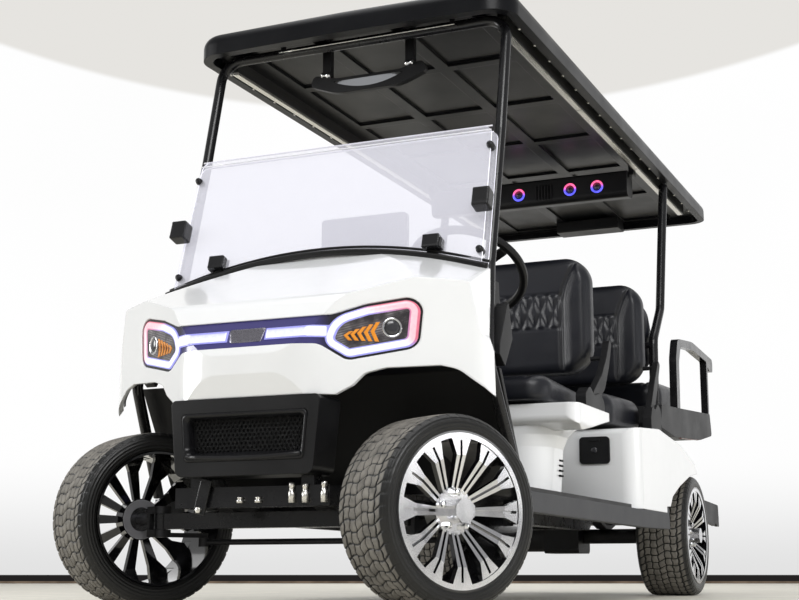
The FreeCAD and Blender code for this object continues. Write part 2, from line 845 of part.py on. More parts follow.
def dash():
    """Moulded dash under the cowl's rear edge, with the screen that stands on it."""
    half = body_half - 109
    side = prism("dash_side", "YZ_Plane", [
        (fore(-1076), 625.3), (fore(-1050), 625.3), (fore(-880), 690), (fore(-840), 820), (fore(-850), 905, 25),
        (fore(-890), 950, 40), (fore(-1000.5), 950), (fore(-1000.5), 720), (fore(-1076), 690),
    ], half * 2)
    front = prism("dash_front", "XZ_Plane", [(-half, 600), (half, 600)] + crown_line(half, None, 14),
                  300, offset=-fore(-820), both=False)
    item = common("dash", [side, front])
    place(item)
    keep(item, "dash")

    body = new_body("dash_screen")
    pad(body, "XZ_Plane", [[(-42, 985, 12), (-42, 1120, 12), (233, 1120, 12), (233, 985, 12)]],
        18, offset=-fore(-920), both=False)
    pad(body, "XZ_Plane", [[(60, 950.3), (60, 1000), (130, 1000), (130, 950.3)]], 26, offset=-fore(-912), both=False)
    place(body)
    return keep(body, "dash_screen")


def seat_pod():
    """Pedestal of the front bench: a narrow tapered foot under a wide top with lobed sides."""
    foot = new_body("pod_foot")
    front, back = fore(-440), fore(-205)
    widths = [(s.floor_top + 0.3, 125), (475, 114), (512, 98), (540, 66)]

    def ring(inset):
        half = body_half - inset
        return [(half, front, 110), (half, back, 40), (-half, back, 40), (-half, front, 110)]

    for low, high in zip(widths, widths[1:]):
        loft(foot, [(low[0], ring(low[1])), (high[0], ring(high[1]))])
    top = s.hip_top
    lobe = common("pod_top", [
        prism("pod_side", "YZ_Plane", [
            (front - 20, top), (fore(-62), top, 6), (fore(-70), top - 22, 14), (fore(-205), 556, 90),
            (fore(-384), 522, 70), (front - 20, 545, 25),
        ], body_half * 2 + 20),
        prism("pod_front", "XZ_Plane", [
            (body_half, top + 20), (body_half, 515, 34), (-body_half, 515, 34), (-body_half, top + 20),
        ], 460, offset=-fore(-40), both=False),
        prism("pod_plan", "XY_Plane", [
            (body_half, front - 20, 40), (body_half, fore(-62), 40), (-body_half, fore(-62), 40),
            (-body_half, front - 20, 40),
        ], 120, offset=s.hip_top - 100, both=False),
    ])
    item = fused("front_seat_pod", [foot, lobe])
    place(item)
    return keep(item, "front_seat_pod")


def rear_body():
    """Hollow rear body: rounded front corners, arches that end in a point, and a narrow tail."""
    low = s.rocker_top + 2.4
    front = rear_front
    half = body_half
    tail_half = half - 220

    def skin(name, gap):
        side = [
            (front + gap, low if gap == 0 else low - 30), (front + gap, 592 - gap, 20), (aft(600), 614 - gap),
            (aft(946), 584 - gap), (aft(1214) - gap, 524 - gap, 20), (aft(1250) - gap * 3, 489 + gap * 0.5),
            (aft(1108), 471 + gap), (aft(918), 421 + gap), (aft(789) - gap * 0.6, 375 + gap),
            (aft(749) - gap, 336 + gap * 0.5), (aft(690) - gap, 333 + gap * 0.5),
            (aft(690) - gap, low if gap == 0 else low - 30),
        ]
        plan = [(half - gap, front + gap, 60 - gap), (half - gap, aft(1300)), (-half + gap, aft(1300)),
                (-half + gap, front + gap, 60 - gap)]
        return common(name, [
            prism(name + "_side", "YZ_Plane", side, half * 2 + 20),
            prism(name + "_plan", "XY_Plane", plan, 400, offset=250, both=False),
        ])

    outer = skin("rear_outer", 0)
    inner = skin("rear_inner", s.wall.value)
    tail = prism("tail_outer", "YZ_Plane", [
        (aft(1000), 560), (rear_axle + 385, 560, 20), (rear_axle + 400, 400), (rear_axle + 290, 400),
        (rear_axle + 60, 530), (aft(1000), 530),
    ], tail_half * 2)
    hollow = prism("tail_inner", "YZ_Plane", [
        (aft(1015), 548), (rear_axle + 374, 548, 10), (rear_axle + 388, 412), (rear_axle + 389, 395),
        (rear_axle + 298, 395), (rear_axle + 62, 542), (aft(1015), 542),
    ], tail_half * 2 - 24)
    item = cut("rear_body", fused("rear_form", [outer, tail]), fused("rear_hollow", [inner, hollow]))
    place(item)
    return keep(item, "rear_body")


def charge_port():
    body = new_body("charge_port")
    out = body_half - 102
    pad(body, "XZ_Plane", [[(out - 110, 468, 14), (out, 468, 14), (out, 564, 14), (out - 110, 564, 14)]],
        8, offset=-rear_front, both=False)
    place(body)
    return keep(body, "charge_port")


def footrest():
    """Tread plate with deep side ends behind the rear wheels, on two arms from the frame's ends."""
    body = new_body("footrest")
    arm_start = rear_axle + 380.3
    half = body_half - 80
    arm = [(arm_start, kick + 5), (aft(1760), 320), (aft(1760), 345), (arm_start, kick + 45)]
    pad(body, "YZ_Plane", [[(aft(1740), 330), (aft(1960), 308), (tail_y, 330), (tail_y, 350), (aft(1965), 328),
                            (aft(1745), 350)]], half * 2)
    pad(body, "YZ_Plane", [arm], 40, offset=frame_half - 50, both=False)
    pad(body, "YZ_Plane", [arm], 40, offset=-frame_half + 10, both=False)
    end = [(aft(1705), 410, 12), (tail_y - 6, 398, 16), (tail_y, 300, 6), (tail_y - 45, 300), (tail_y - 70, 316, 20),
           (tail_y - 110, 300), (aft(1725), 318, 20)]
    for x in (half - 12, -half):
        pad(body, "YZ_Plane", [end], 12, offset=x, both=False)
    place(body)
    return keep(body, "footrest")


# Seats

def cushion(label, side, outline, role, reach):
    """A cushion as its side profile and its front or top outline share it."""
    start, length = reach
    item = common(label, [
        prism(label + "_side", "YZ_Plane", side, seat_half * 2),
        prism(label + "_face", role, outline, length, offset=start, both=False),
    ])
    place(item)
    return keep(item, label)


def seat_back(label, side, half, low, high, front):
    """A backrest with rounded upper corners, its front face at y = front."""
    outline = [(-half, low, 30), (-half, high, 95), (half, high, 95), (half, low, 30)]
    return cushion(label, side, outline, "XZ_Plane", (-front - 300, 310))


def seat_base(label, side, half, front, back):
    """A seat cushion with rounded front corners."""
    outline = [(-half, front, 70), (half, front, 70), (half, back, 15), (-half, back, 15)]
    return cushion(label, side, outline, "XY_Plane", (s.hip_top - 10, 320))


def seats():
    half = seat_half
    base = s.hip_top + 0.4
    ledge = aft(235)
    seat_base("front_cushion", [(fore(-490), base, 30), (fore(-490), 694, 40), (fore(0), 676, 20), (fore(0), base, 20)],
              half, fore(-490), fore(0))
    seat_back("front_back", [(fore(4), 757, 20), (fore(8), 1165, 30), (fore(98), 1165, 30), (fore(98), 757, 20)],
              half, 757, 1165, fore(4))
    seat_base("middle_cushion", [(ledge, 614.4, 30), (ledge, 720, 40), (aft(728), 738, 20), (aft(728), 614.4, 20)],
              half, ledge, aft(728))
    seat_back("middle_back", [(aft(732), 812, 20), (aft(738), 1208, 30), (aft(825), 1208, 30), (aft(825), 812, 20)],
              half, 812, 1208, aft(732))
    seat_back("rear_back", [(aft(826.5), 1132, 20), (aft(918), 1168, 30), (aft(1030), 1100, 80), (aft(1114), 945, 30),
                            (aft(1110), 915, 15), (aft(1020), 885, 20)],
              half - 20, 860, 1170, aft(830))


def shell_line(y):
    """Height of the rear seat shell's top at a distance behind the middle bench's front edge."""
    return 724 + (y - 735) * 61 / 981


def rear_cushion():
    """Rear seat on two arms that turn about pins at the shell's rear edge."""
    half = seat_half - 30
    seat_base("rear_cushion", [(aft(1125), shell_line(1125) + 1, 10), (aft(1125), 885, 30), (aft(1600), 870, 30),
                               (aft(1600), shell_line(1600) + 1, 10)], half, aft(1125), aft(1600))
    body = new_body("rear_seat_hinge")
    pin = aft(hinge_y)
    arm = [(aft(1600.3), 790), (aft(1600.3), 806), (pin - 8, 818, 6), (pin + 12, 810, 8), (pin + 12, 790, 8),
           (pin - 8, 788, 6)]
    pad(body, "YZ_Plane", [arm], 24, offset=seat_half - 100, both=False, rings=[(pin, hinge_z, 6.3)])
    mirror(body)
    place(body)
    keep(body, "rear_seat_hinge")


hinge_y = 1742
hinge_z = 800


def rear_seat_shell():
    """Tub under the rear-facing bench, its plinth on the body, and the hinge pins' lugs."""
    body = new_body("rear_seat_shell")
    back = aft(1716)
    pin = aft(hinge_y)
    pad(body, "YZ_Plane", [[(aft(790), shell_line(790)), (back, 785, 12), (back + 28, 690, 16), (aft(1500), 652, 60),
                            (aft(1008), 622, 40), (aft(760), 640, 20)]], tub_half * 2)
    plinth_low = aft(1084)
    pad(body, "YZ_Plane", [[(aft(750), 660), (aft(750), 601.5), (aft(946), 584.5), (plinth_low, 560.5),
                            (aft(1540), 560.5), (aft(1540), 690)]], tub_half * 2 - 400)
    lug = [(back - 10, 770), (back - 10, 786), (pin - 10, hinge_z + 10, 6), (pin + 12, hinge_z + 10, 8),
           (pin + 12, hinge_z - 12, 8), (pin - 6, 760)]
    for x in (seat_half - 118, seat_half - 74, -seat_half + 62, -seat_half + 106):
        pad(body, "YZ_Plane", [lug], 12, offset=x, both=False)
    for x in (seat_half - 110, -seat_half + 70):
        pad(body, "YZ_Plane", [], 40, offset=x, both=False, rings=[(pin, hinge_z, 6)])
    place(body)
    return keep(body, "rear_seat_shell")


def hip_restraints():
    """Each bench's side covers and flat tapered horns, joined by the bar that carries its back."""
    body = new_body("hip_restraints")
    x = body_half - 49
    horns = [
        ([(fore(-290), 602.4), (fore(-70), 602.4), (fore(-74), 640, 20), (fore(-120), 668, 24), (fore(-190), 650, 30),
          (fore(-240), 676, 24), (fore(-290), 650, 20)],
         [(fore(-215), 640), (fore(-140), 632), (fore(-40), 690, 60), (fore(20), 775, 120), (fore(58), 858, 10),
          (fore(34), 868, 10), (fore(-10), 800, 100), (fore(-75), 732, 60), (fore(-150), 684, 40)],
         (fore(18), 803)),
        ([(aft(573), 614.5), (aft(600), 614.5), (aft(731), 602.8), (aft(731), 700, 24), (aft(686), 718, 24),
          (aft(640), 690, 30), (aft(600), 704, 20), (aft(573), 660, 20)],
         [(aft(585), 636), (aft(620), 640), (aft(655), 690, 60), (aft(705), 765, 80), (aft(768), 880, 10),
          (aft(742), 892, 10), (aft(670), 800, 100), (aft(622), 730, 60), (aft(585), 680, 30)],
         (aft(750), 866)),
    ]
    for cover, horn, pin in horns:
        pad(body, "YZ_Plane", [cover], 34, offset=x - 6, both=False)
        pad(body, "YZ_Plane", [horn], 22, offset=x, both=False)
        pad(body, "YZ_Plane", [], x + 4 - seat_half, offset=seat_half + 0.3, both=False, rings=[pin + (8,)])
    mirror(body)
    place(body)
    return keep(body, "hip_restraints")


def armrests():
    """A flat hooped grab rail on each side of the rear-facing bench."""
    outline = [
        (aft(1072), shell_line(1072) + 0.4), (aft(1124), shell_line(1124) + 0.4), (aft(1132), 940, 60),
        (aft(1172), 1010, 40), (aft(1400), 1030, 400), (aft(1692), 1018, 10), (aft(1690), shell_line(1690) + 0.4),
        (aft(1712), shell_line(1712) + 0.4), (aft(1716), 1000, 8), (aft(1760), 984, 20), (aft(1826), 986, 14),
        (aft(1830), 1044, 20), (aft(1400), 1064, 600), (aft(1120), 1036, 50), (aft(1080), 950, 80),
    ]
    pair("rear_armrests", outline, tub_half - 31, 30)


# Roof and its carriers

def roof():
    """One moulding with a turned-down rim, its ceiling sunk in panels between ribs."""
    body = new_body("roof")
    half = body_half - 52
    low, high = s.roof_bottom, s.roof_top
    front, back = fore(-888), aft(1960)
    outline = [(half, front, 90), (0, front - 12, 2000), (-half, front, 90), (-half, back, 80), (half, back, 80)]
    pad(body, "XY_Plane", [outline], high - low, offset=low, both=False)
    round_edges(body, 40, lambda edge: all(abs(v.Point.z - high.value) < 0.01 for v in edge.Vertexes))
    inner = half - 30
    pocket(body, "XY_Plane", [[(inner, front + 30, 60), (-inner, front + 30, 60), (-inner, back - 30, 50),
                               (inner, back - 30, 50)]], 30, offset=low, both=False, reverse=True)
    rows = 6
    pitch = (back - front - 100) / rows
    panels = []
    for row in range(rows):
        start = front + 60 + pitch * row
        for centre in (-270, 0, 270):
            panels.append([(centre - 112, start), (centre + 112, start), (centre + 112, start + pitch - 40),
                           (centre - 112, start + pitch - 40)])
    pocket(body, "XY_Plane", panels, 9, offset=low + 29.7, both=False, reverse=True)
    place(body)
    return keep(body, "roof")


def roof_rails():
    pair("roof_rails", [(fore(-750), 1708), (aft(1700), 1708), (aft(1700), under_roof), (fore(-750), under_roof)],
         strut_half - 48, 30)


def front_hoop():
    """One tube from rocker to rocker: up the screen's sides and across under the roof."""
    out = strut_half.value
    wide = body_half.value
    top = under_roof.value - s.tube_radius.value - 0.3
    side = [(19 - wide, -957, 316), (42 - wide, -1130, 640), (-out, -975, 930), (4 - out, -857, 1356), (8 - out, -770, top)]
    right_leg = [(x, fore(y).value, z) for x, y, z in side]
    left_leg = [(-x, y, z) for x, y, z in reversed(right_leg)]
    feature_from("front_hoop", tube_shape(right_leg + left_leg, 70, s.tube_radius))
    leaf = [(fore(-1084), 690), (fore(-1025.5), 800), (fore(-1010), 812), (fore(-984), 715), (fore(-1046), 634),
            (fore(-1088), 660)]
    pair("side_trims", leaf, body_half - 58, 34)


def rear_struts():
    """Two legs from the shell to the roof's rails, with the bar that the rear back leans on."""
    x = strut_half.value + 0.3
    leg = [(1215, s.roof_bottom.value - 4), (1076, 1154), (940, 1010), (922, shell_line(922) + 2.2)]
    legs = tube_shape([(x, aft(y).value, z) for y, z in leg], 60, s.tube_radius + 2)
    bar = Part.makeCylinder(12, 2 * x - 16, Vector(8 - x, aft(925.4).value, 985), Vector(1, 0, 0))
    return feature_from("rear_struts", legs.fuse([mirrored_x(legs), bar]).removeSplitter())


def screen_y(z, out):
    """The screen's slope at a height, this far in front of the lower pane's face."""
    return fore(-1023.6 + 0.3 * (z - 880) - out)


def pane(label, out, half, low_z, top, lift):
    """A glass pane whose lower edge follows the cowl's crown."""
    side = [(screen_y(low_z, out), low_z), (screen_y(low_z, out - 6.2), low_z),
            (screen_y(top + 12, out - 6.2), top + 12), (screen_y(top + 12, out), top + 12)]
    low = crown_line(half, None, -lift)
    item = common(label, [
        prism(label + "_side", "YZ_Plane", side, half * 2 + 20),
        prism(label + "_face", "XZ_Plane", [(-half + 10, top, 30), (half - 10, top, 30)] + low, 400,
              offset=-fore(-700), both=False),
    ])
    place(item)
    return keep(item, label)


def windscreen():
    """Lower pane in front of the hoop's legs, and the upper pane folded down before it."""
    pane("windscreen", 0, body_half - 82, 880, 1348, 0.4)
    pane("windscreen_upper", 17, body_half - 96, 930, 1362, 16)


def windscreen_clips():
    """Two clips at the foot hook under the folded pane and keep it off the lower one."""
    body = new_body("windscreen_clips")
    hook = [(958, 0.4), (958, 22), (990, 22), (990, 17.3), (965.4, 17.3), (965.4, 10.5), (1015, 10.5), (1015, 0.4)]
    pad(body, "YZ_Plane", [[(screen_y(z, out), z) for z, out in hook]], 36, offset=body_half - 262, both=False)
    mirror(body)
    place(body)
    keep(body, "windscreen_clips")


def ceiling_mirror():
    body = new_body("mirror")
    face = fore(-700)
    pad(body, "XZ_Plane", [[(-200, 1632, 14), (-110, 1600, 160), (110, 1600, 160), (200, 1632, 14), (196, 1672, 20),
                            (110, 1650, 60), (-110, 1650, 60), (-196, 1672, 20)]], 22, offset=-face)
    for x in (-160, 130):
        stem = [(x, 1645), (x + 30, 1660), (x + 30, under_roof), (x, under_roof)]
        pad(body, "XZ_Plane", [stem], 20, offset=-face)
    place(body)
    keep(body, "mirror")


def sound_bar():
    body = new_body("sound_bar")
    half = strut_half - 70
    y = aft(915)
    pad(body, "YZ_Plane", [[(y - 45, 1596, 24), (y - 45, 1706, 10), (y + 45, 1706, 10), (y + 45, 1604, 24)]], half * 2)
    for x in (-half - 21.7, half + 1.7):
        pad(body, "YZ_Plane", [[(y - 20, 1690), (y + 20, 1690), (y + 20, 1745), (y - 20, 1745)]], 20, offset=x, both=False)
    for x in (-half - 5, half - 5):
        pad(body, "YZ_Plane", [[(y - 20, 1680), (y + 20, 1680), (y + 20, 1700), (y - 20, 1700)]], 10, offset=x, both=False)
    place(body)
    keep(body, "sound_bar")


def roof_rear_box():
    slab("roof_rear_box", [(aft(1780), 1700, 8), (aft(1780), under_roof), (aft(1895), under_roof), (aft(1895), 1700, 8)],
         300)


wheels()
knuckle("knuckle_left", 1)
knuckle("knuckle_right", -1)
front_suspension()
tie_rod()
rear_running_gear()
steering()
chassis_frame()
floor_pan()
rockers()
battery_pack()
front_cowl()
front_liner()
front_bumper()
dash()
seat_pod()
rear_body()
charge_port()
footrest()
seats()
rear_cushion()
rear_seat_shell()
hip_restraints()
armrests()
roof()
roof_rails()
front_hoop()
rear_struts()
windscreen()
windscreen_clips()
ceiling_mirror()
sound_bar()
roof_rear_box()
doc.recompute()

# Check every object, then write one file for each node.

for item in doc.Objects:
    if "Invalid" in item.State or "Error" in item.State:
        raise RuntimeError("%s failed: %s" % (item.Label, item.State))
os.makedirs("parts", exist_ok=True)
for label, item in nodes.items():
    if item.Shape.isNull() or not item.Shape.isValid():
        raise RuntimeError("%s has no valid shape" % label)
    item.Shape.exportStep("parts/%s.step" % label)
    box = item.Shape.BoundBox
    print("%-20s x %7.1f %7.1f  y %7.1f %7.1f  z %7.1f %7.1f  solids %d" % (
        label, box.XMin, box.XMax, box.YMin, box.YMax, box.ZMin, box.ZMax, len(item.Shape.Solids)))
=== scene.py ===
"""Looks of a six-seat golf cart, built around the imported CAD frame. Metres; the front faces -Y."""

import math

import bmesh
import bpy
from mathutils import Matrix, Vector
from mathutils.bvhtree import BVHTree


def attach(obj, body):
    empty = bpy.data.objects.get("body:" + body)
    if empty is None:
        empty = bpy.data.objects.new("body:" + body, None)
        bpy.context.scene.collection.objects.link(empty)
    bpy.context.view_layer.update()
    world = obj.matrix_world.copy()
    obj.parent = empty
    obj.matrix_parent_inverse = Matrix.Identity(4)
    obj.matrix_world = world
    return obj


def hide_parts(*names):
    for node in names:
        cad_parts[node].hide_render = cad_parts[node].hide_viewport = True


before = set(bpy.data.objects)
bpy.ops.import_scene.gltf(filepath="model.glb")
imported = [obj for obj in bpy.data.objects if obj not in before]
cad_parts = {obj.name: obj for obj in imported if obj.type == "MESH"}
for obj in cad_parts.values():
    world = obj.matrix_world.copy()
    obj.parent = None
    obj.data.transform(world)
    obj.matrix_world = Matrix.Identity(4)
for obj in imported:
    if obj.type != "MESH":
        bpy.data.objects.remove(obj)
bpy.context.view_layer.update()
scene = bpy.context.scene

# Places and sizes that the pieces share, in metres

MM = 0.001
WHEELBASE = 2.470
WHEELBASE_MIDDLE = -0.27041  # along Y
STEER = math.radians(-31)  # the front wheels as parked
TYRE_RADIUS = 0.2395
KINGPIN_OUT = 0.375
WHEEL_REACH = 0.110  # from the kingpin to the wheel's middle plane
PANE_FACING = (0.0, -0.958, 0.287)
SIDES = ((1, "left"), (-1, "right"))


def at(x, y, z):
    """A place in millimetres from the middle of the wheelbase, as a vector in the frame."""
    return Vector((x * MM, y * MM + WHEELBASE_MIDDLE, z * MM))


def wheel_places():
    """Centre and turn about the vertical of every wheel, with its outer face along local +X."""
    places = {}
    for end, way, turn in (("front_", -1, STEER), ("rear_", 1, 0.0)):
        out = Vector((math.cos(turn), math.sin(turn), 0)) * WHEEL_REACH
        y = WHEELBASE_MIDDLE + way * WHEELBASE / 2
        for side, name in SIDES:
            pivot = Vector((side * KINGPIN_OUT, y, TYRE_RADIUS))
            places[end + name] = (pivot + out * side, turn + (0 if side > 0 else math.pi))
    return places


# Materials

def scaled(color, factor, lift=0.0):
    """A colour made brighter or darker, and no brighter than white."""
    return tuple(min(1.0, c * factor + lift) for c in color)


class Recipe:
    """A material's node tree, with short ways to add and join nodes."""

    def __init__(self, name):
        self.material = bpy.data.materials.new(name)
        self.material.use_nodes = True
        self.tree = self.material.node_tree
        self.tree.nodes.clear()
        coordinates = self.node("TexCoord").outputs
        self.place, self.facing = coordinates["Object"], coordinates["Normal"]

    def set(self, socket, value):
        """Join an output to a socket, or give the socket a plain value."""
        if isinstance(value, bpy.types.NodeSocket):
            self.tree.links.new(value, socket)
        elif isinstance(value, tuple) and len(value) == 3 and len(socket.default_value) == 4:
            socket.default_value = (*value, 1.0)
        else:
            socket.default_value = value

    def node(self, kind, inputs=(), **settings):
        """A new node with its settings, and with a value or another's output on each input."""
        item = self.tree.nodes.new("ShaderNode" + kind)
        for key, value in settings.items():
            setattr(item, key, value)
        for key, value in dict(inputs).items():
            self.set(item.inputs[key], value)
        return item

    def out(self, kind, inputs=(), output=0, **settings):
        return self.node(kind, inputs, **settings).outputs[output]

    def noise(self, scale, detail=3.0, rough=0.55, vector=None):
        return self.out("TexNoise", {"Vector": vector or self.place, "Scale": scale,
                                     "Detail": detail, "Roughness": rough}, "Fac")

    def remap(self, value, low, high, out_low=0.0, out_high=1.0, kind="LINEAR"):
        return self.out("MapRange", {"Value": value, "From Min": low, "From Max": high,
                                     "To Min": out_low, "To Max": out_high}, "Result",
                        interpolation_type=kind)

    def ramp(self, *values):
        """A remap with an eased start and end."""
        return self.remap(*values, kind="SMOOTHSTEP")

    def uneven(self, pattern, value, low, high):
        """A value that wanders between two shares of itself with a pattern."""
        return self.remap(pattern, 0.3, 0.7, value * low, value * high)

    def math(self, operation, first, second=0.0):
        return self.out("Math", {0: first, 1: second}, operation=operation)

    def times(self, first, second):
        return self.math("MULTIPLY", first, second)

    def dot(self, vector, direction):
        return self.out("VectorMath", {0: vector, 1: direction}, "Value", operation="DOT_PRODUCT")

    def mix(self, fac, first, second):
        return self.out("Mix", {0: fac, 6: first, 7: second}, 2, data_type="RGBA")

    def blend(self, fac, first, second):
        """Two shaders mixed."""
        return self.out("MixShader", {0: fac, 1: first, 2: second})

    def axis(self, name):
        return self.out("SeparateXYZ", {0: self.place}, name)

    def across(self):
        """Distance from the cart's middle plane."""
        return self.math("ABSOLUTE", self.axis("X"))

    def soft_edges(self, radius):
        """Normals rounded over the hard edges, as moulded and pressed pieces have them."""
        return self.out("Bevel", {"Radius": radius}, "Normal", samples=4)

    def bump(self, height, strength, distance, normal=None):
        inputs = {"Height": height, "Strength": strength, "Distance": distance}
        if normal is not None:
            inputs["Normal"] = normal
        return self.out("Bump", inputs, "Normal")

    def principled(self, color, roughness, metallic=0.0, **more):
        inputs = {"Base Color": color, "Roughness": roughness, "Metallic": metallic}
        inputs.update((key.replace("_", " "), value) for key, value in more.items())
        return self.out("BsdfPrincipled", inputs)

    def glow(self, color, roughness, light, strength):
        return self.principled(color, roughness, Emission_Color=light, Emission_Strength=strength)

    def finish(self, shader):
        self.node("OutputMaterial", {"Surface": shader})
        return self.material


def paint(name, color, roughness=0.16):
    """Gloss body colour: faint orange peel, and roughness that wanders with handling."""
    r = Recipe(name)
    tone = r.mix(r.remap(r.noise(3.0, 4.0), 0.35, 0.65), scaled(color, 0.97), color)
    normal = r.bump(r.noise(260.0, 1.0), 0.04, 0.0004, r.soft_edges(0.006))
    rough = r.uneven(r.noise(14.0, 5.0), roughness, 0.8, 1.3)
    return r.finish(r.principled(tone, rough, Normal=normal, Coat_Weight=0.6, Coat_Roughness=0.06))


def plastic(name, color, roughness, grain=900.0, depth=0.00025, strength=0.35, shine=0.3):
    """Moulded plastic: pebbled grain, mottled tone and dust that dulls it in patches."""
    r = Recipe(name)
    patch = r.noise(6.0, 5.0)
    tone = r.mix(r.remap(patch, 0.35, 0.7), color, scaled(color, 1.25, 0.001))
    normal = r.bump(r.noise(grain, 2.0, 0.6), strength, depth, r.soft_edges(0.004))
    rough = r.uneven(patch, roughness, 0.88, 1.15)
    return r.finish(r.principled(tone, rough, Normal=normal, Specular_IOR_Level=shine))


def coated_steel(name, color, roughness):
    """Powder-coated tube: a fine orange peel over a dark gloss."""
    r = Recipe(name)
    tone = r.mix(r.noise(9.0, 4.0), color, scaled(color, 1.5, 0.001))
    normal = r.bump(r.noise(700.0, 2.0), 0.07, 0.0002)
    rough = r.uneven(r.noise(20.0), roughness, 0.8, 1.3)
    return r.finish(r.principled(tone, rough, Normal=normal, Coat_Weight=0.3, Coat_Roughness=0.1,
                                 Specular_IOR_Level=0.3))


def vinyl(name, color):
    """Seat vinyl: leather grain in two sizes and a soft, uneven shine."""
    r = Recipe(name)
    cell = r.out("TexVoronoi", {"Vector": r.place, "Scale": 520.0}, "Distance",
                 feature="DISTANCE_TO_EDGE")
    grain = r.math("ADD", r.remap(cell, 0.0, 0.25), r.noise(1400.0, 2.0))
    normal = r.bump(r.noise(38.0), 0.10, 0.0015, r.bump(grain, 0.28, 0.00025))
    tone = r.mix(r.remap(r.noise(8.0, 4.0), 0.35, 0.7), color, scaled(color, 1.35))
    rough = r.remap(r.noise(11.0, 4.0), 0.3, 0.7, 0.30, 0.42)
    return r.finish(r.principled(tone, rough, Normal=normal, Specular_IOR_Level=0.5))


def metal(name, color, roughness, stretch=(1.0, 1.0, 1.0)):
    """Bare metal with fine scratches, drawn out along an axis when stretched."""
    r = Recipe(name)
    vector = r.out("Mapping", {"Vector": r.place, "Scale": stretch})
    streak = r.noise(300.0, 3.0, 0.6, vector)
    rough = r.uneven(streak, roughness, 0.7, 1.4)
    tone = r.mix(r.noise(12.0), color, scaled(color, 0.9))
    return r.finish(r.principled(tone, rough, 1.0, Normal=r.bump(streak, 0.12, 0.0002)))


def clear_sheet(name, tint, veil):
    """Thin acrylic: a milky veil painted as a glow, a shine at a slant, and sawn edges with a
    painted pale glow.
    """
    r = Recipe(name)
    through = r.out("BsdfTransparent", {"Color": tint})
    haze = r.uneven(r.noise(5.0), 0.02, 1.0, 2.5)
    shine = r.out("BsdfGlossy", {"Color": (0.97, 0.97, 1.0), "Roughness": haze})
    slant = r.math("POWER", r.out("LayerWeight", output="Facing"), 4.0)
    sheet = r.blend(r.math("ADD", r.times(slant, 0.55), 0.055), through, shine)
    # Painted light: the milky veil glows as an emission instead of scattering the lamps' light.
    painted_haze_glow = r.glow((0.45, 0.45, 0.50), 0.3, (0.80, 0.795, 0.85), 0.62)
    hazed_with_painted_glow = r.blend(r.uneven(r.noise(2.2), veil, 0.94, 1.04), sheet, painted_haze_glow)
    # Painted highlight: the sawn edges glow pale, standing in for light caught in them.
    edge = r.glow((0.80, 0.80, 0.88), 0.2, (0.85, 0.85, 0.95), 0.45)
    flat = r.math("ABSOLUTE", r.dot(r.facing, PANE_FACING))
    return r.finish(r.blend(r.remap(flat, 0.45, 0.55, 1.0, 0.0), hazed_with_painted_glow, edge))


def axle_distance(r, centre, turn):
    """How far a place is from its wheel's axis."""
    shifted = r.out("VectorMath", {0: r.place, 1: centre}, operation="SUBTRACT")
    local = r.out("Mapping", {"Vector": shifted, "Rotation": (0, 0, -turn)}, vector_type="POINT")
    parts = r.node("SeparateXYZ", {0: local}).outputs
    flat = r.out("CombineXYZ", {"Y": parts["Y"], "Z": parts["Z"]})
    return r.out("VectorMath", {0: flat}, "Value", operation="LENGTH")


def rim_alloy(name, centre, turn):
    """Machined faces where the wheel looks outwards, with painted reflection sweeps, a bare hub
    inside, gloss black elsewhere.
    """
    r = Recipe(name)
    outward = r.dot(r.facing, (math.cos(turn), math.sin(turn), 0.0))
    radius = axle_distance(r, centre, turn)
    lip = r.remap(radius, 0.1895, 0.1905)
    cap = r.remap(radius, 0.0335, 0.0345, 1.0, 0.0)
    face = r.times(r.remap(outward, 0.72, 0.80), r.math("SUBTRACT", 1.0, lip))
    face = r.math("MAXIMUM", face, cap)
    hub = r.times(r.remap(outward, -0.5, -0.3, 1.0, 0.0),
                  r.remap(radius, 0.054, 0.056, 1.0, 0.0))
    bare = r.math("MAXIMUM", face, hub)
    shiny = r.math("MAXIMUM", face, r.times(hub, 0.35))
    lathe = r.noise(240.0, 2.0)
    # Painted reflection: broad lighter and darker sweeps on the machined faces stand in for the
    # studio mirrored in them.
    painted_reflection_sweep = r.ramp(r.noise(9.0, 2.0), 0.35, 0.65)
    bright = r.mix(painted_reflection_sweep, (0.52, 0.52, 0.55), (0.99, 0.99, 1.0))
    tone = r.mix(bare, (0.006, 0.006, 0.007), r.mix(lathe, bright, (0.80, 0.80, 0.82)))
    tone = r.mix(hub, tone, (0.30, 0.30, 0.32))
    rough = r.remap(bare, 0.0, 1.0, 0.10, 0.22)
    return r.finish(r.principled(tone, rough, shiny, Normal=r.bump(lathe, 0.14, 0.0003),
                                 Coat_Weight=0.7, Coat_Roughness=0.05))


def tyre_rubber(name, centre, turn):
    """Black walls and a taupe crown of dust and painted highlight, told apart by the distance from
    the wheel's axis.
    """
    r = Recipe(name)
    radius = axle_distance(r, centre, turn)
    dust = r.ramp(radius, 0.2366, 0.2378)
    # Taupe crown: partly dust, partly a painted highlight where light grazes the tread.
    crown_wear_and_sheen = r.times(dust, r.remap(r.noise(30.0, 4.0), 0.3, 0.75, 0.45, 1.0))
    tone = r.mix(crown_wear_and_sheen, (0.0055, 0.0055, 0.0055), (0.23, 0.215, 0.19))
    wide = r.math("SINE", r.times(radius, 720.0))
    fine = r.math("SINE", r.times(radius, 2400.0))
    rings = r.math("ADD", r.times(wide, 1.6), r.times(fine, 0.35))
    wall = r.times(r.math("SUBTRACT", 1.0, dust), rings)
    normal = r.bump(r.math("ADD", wall, r.noise(900.0, 2.0)), 0.5, 0.0007)
    rough = r.remap(dust, 0.0, 1.0, 0.33, 0.75)
    return r.finish(r.principled(tone, rough, Normal=normal))


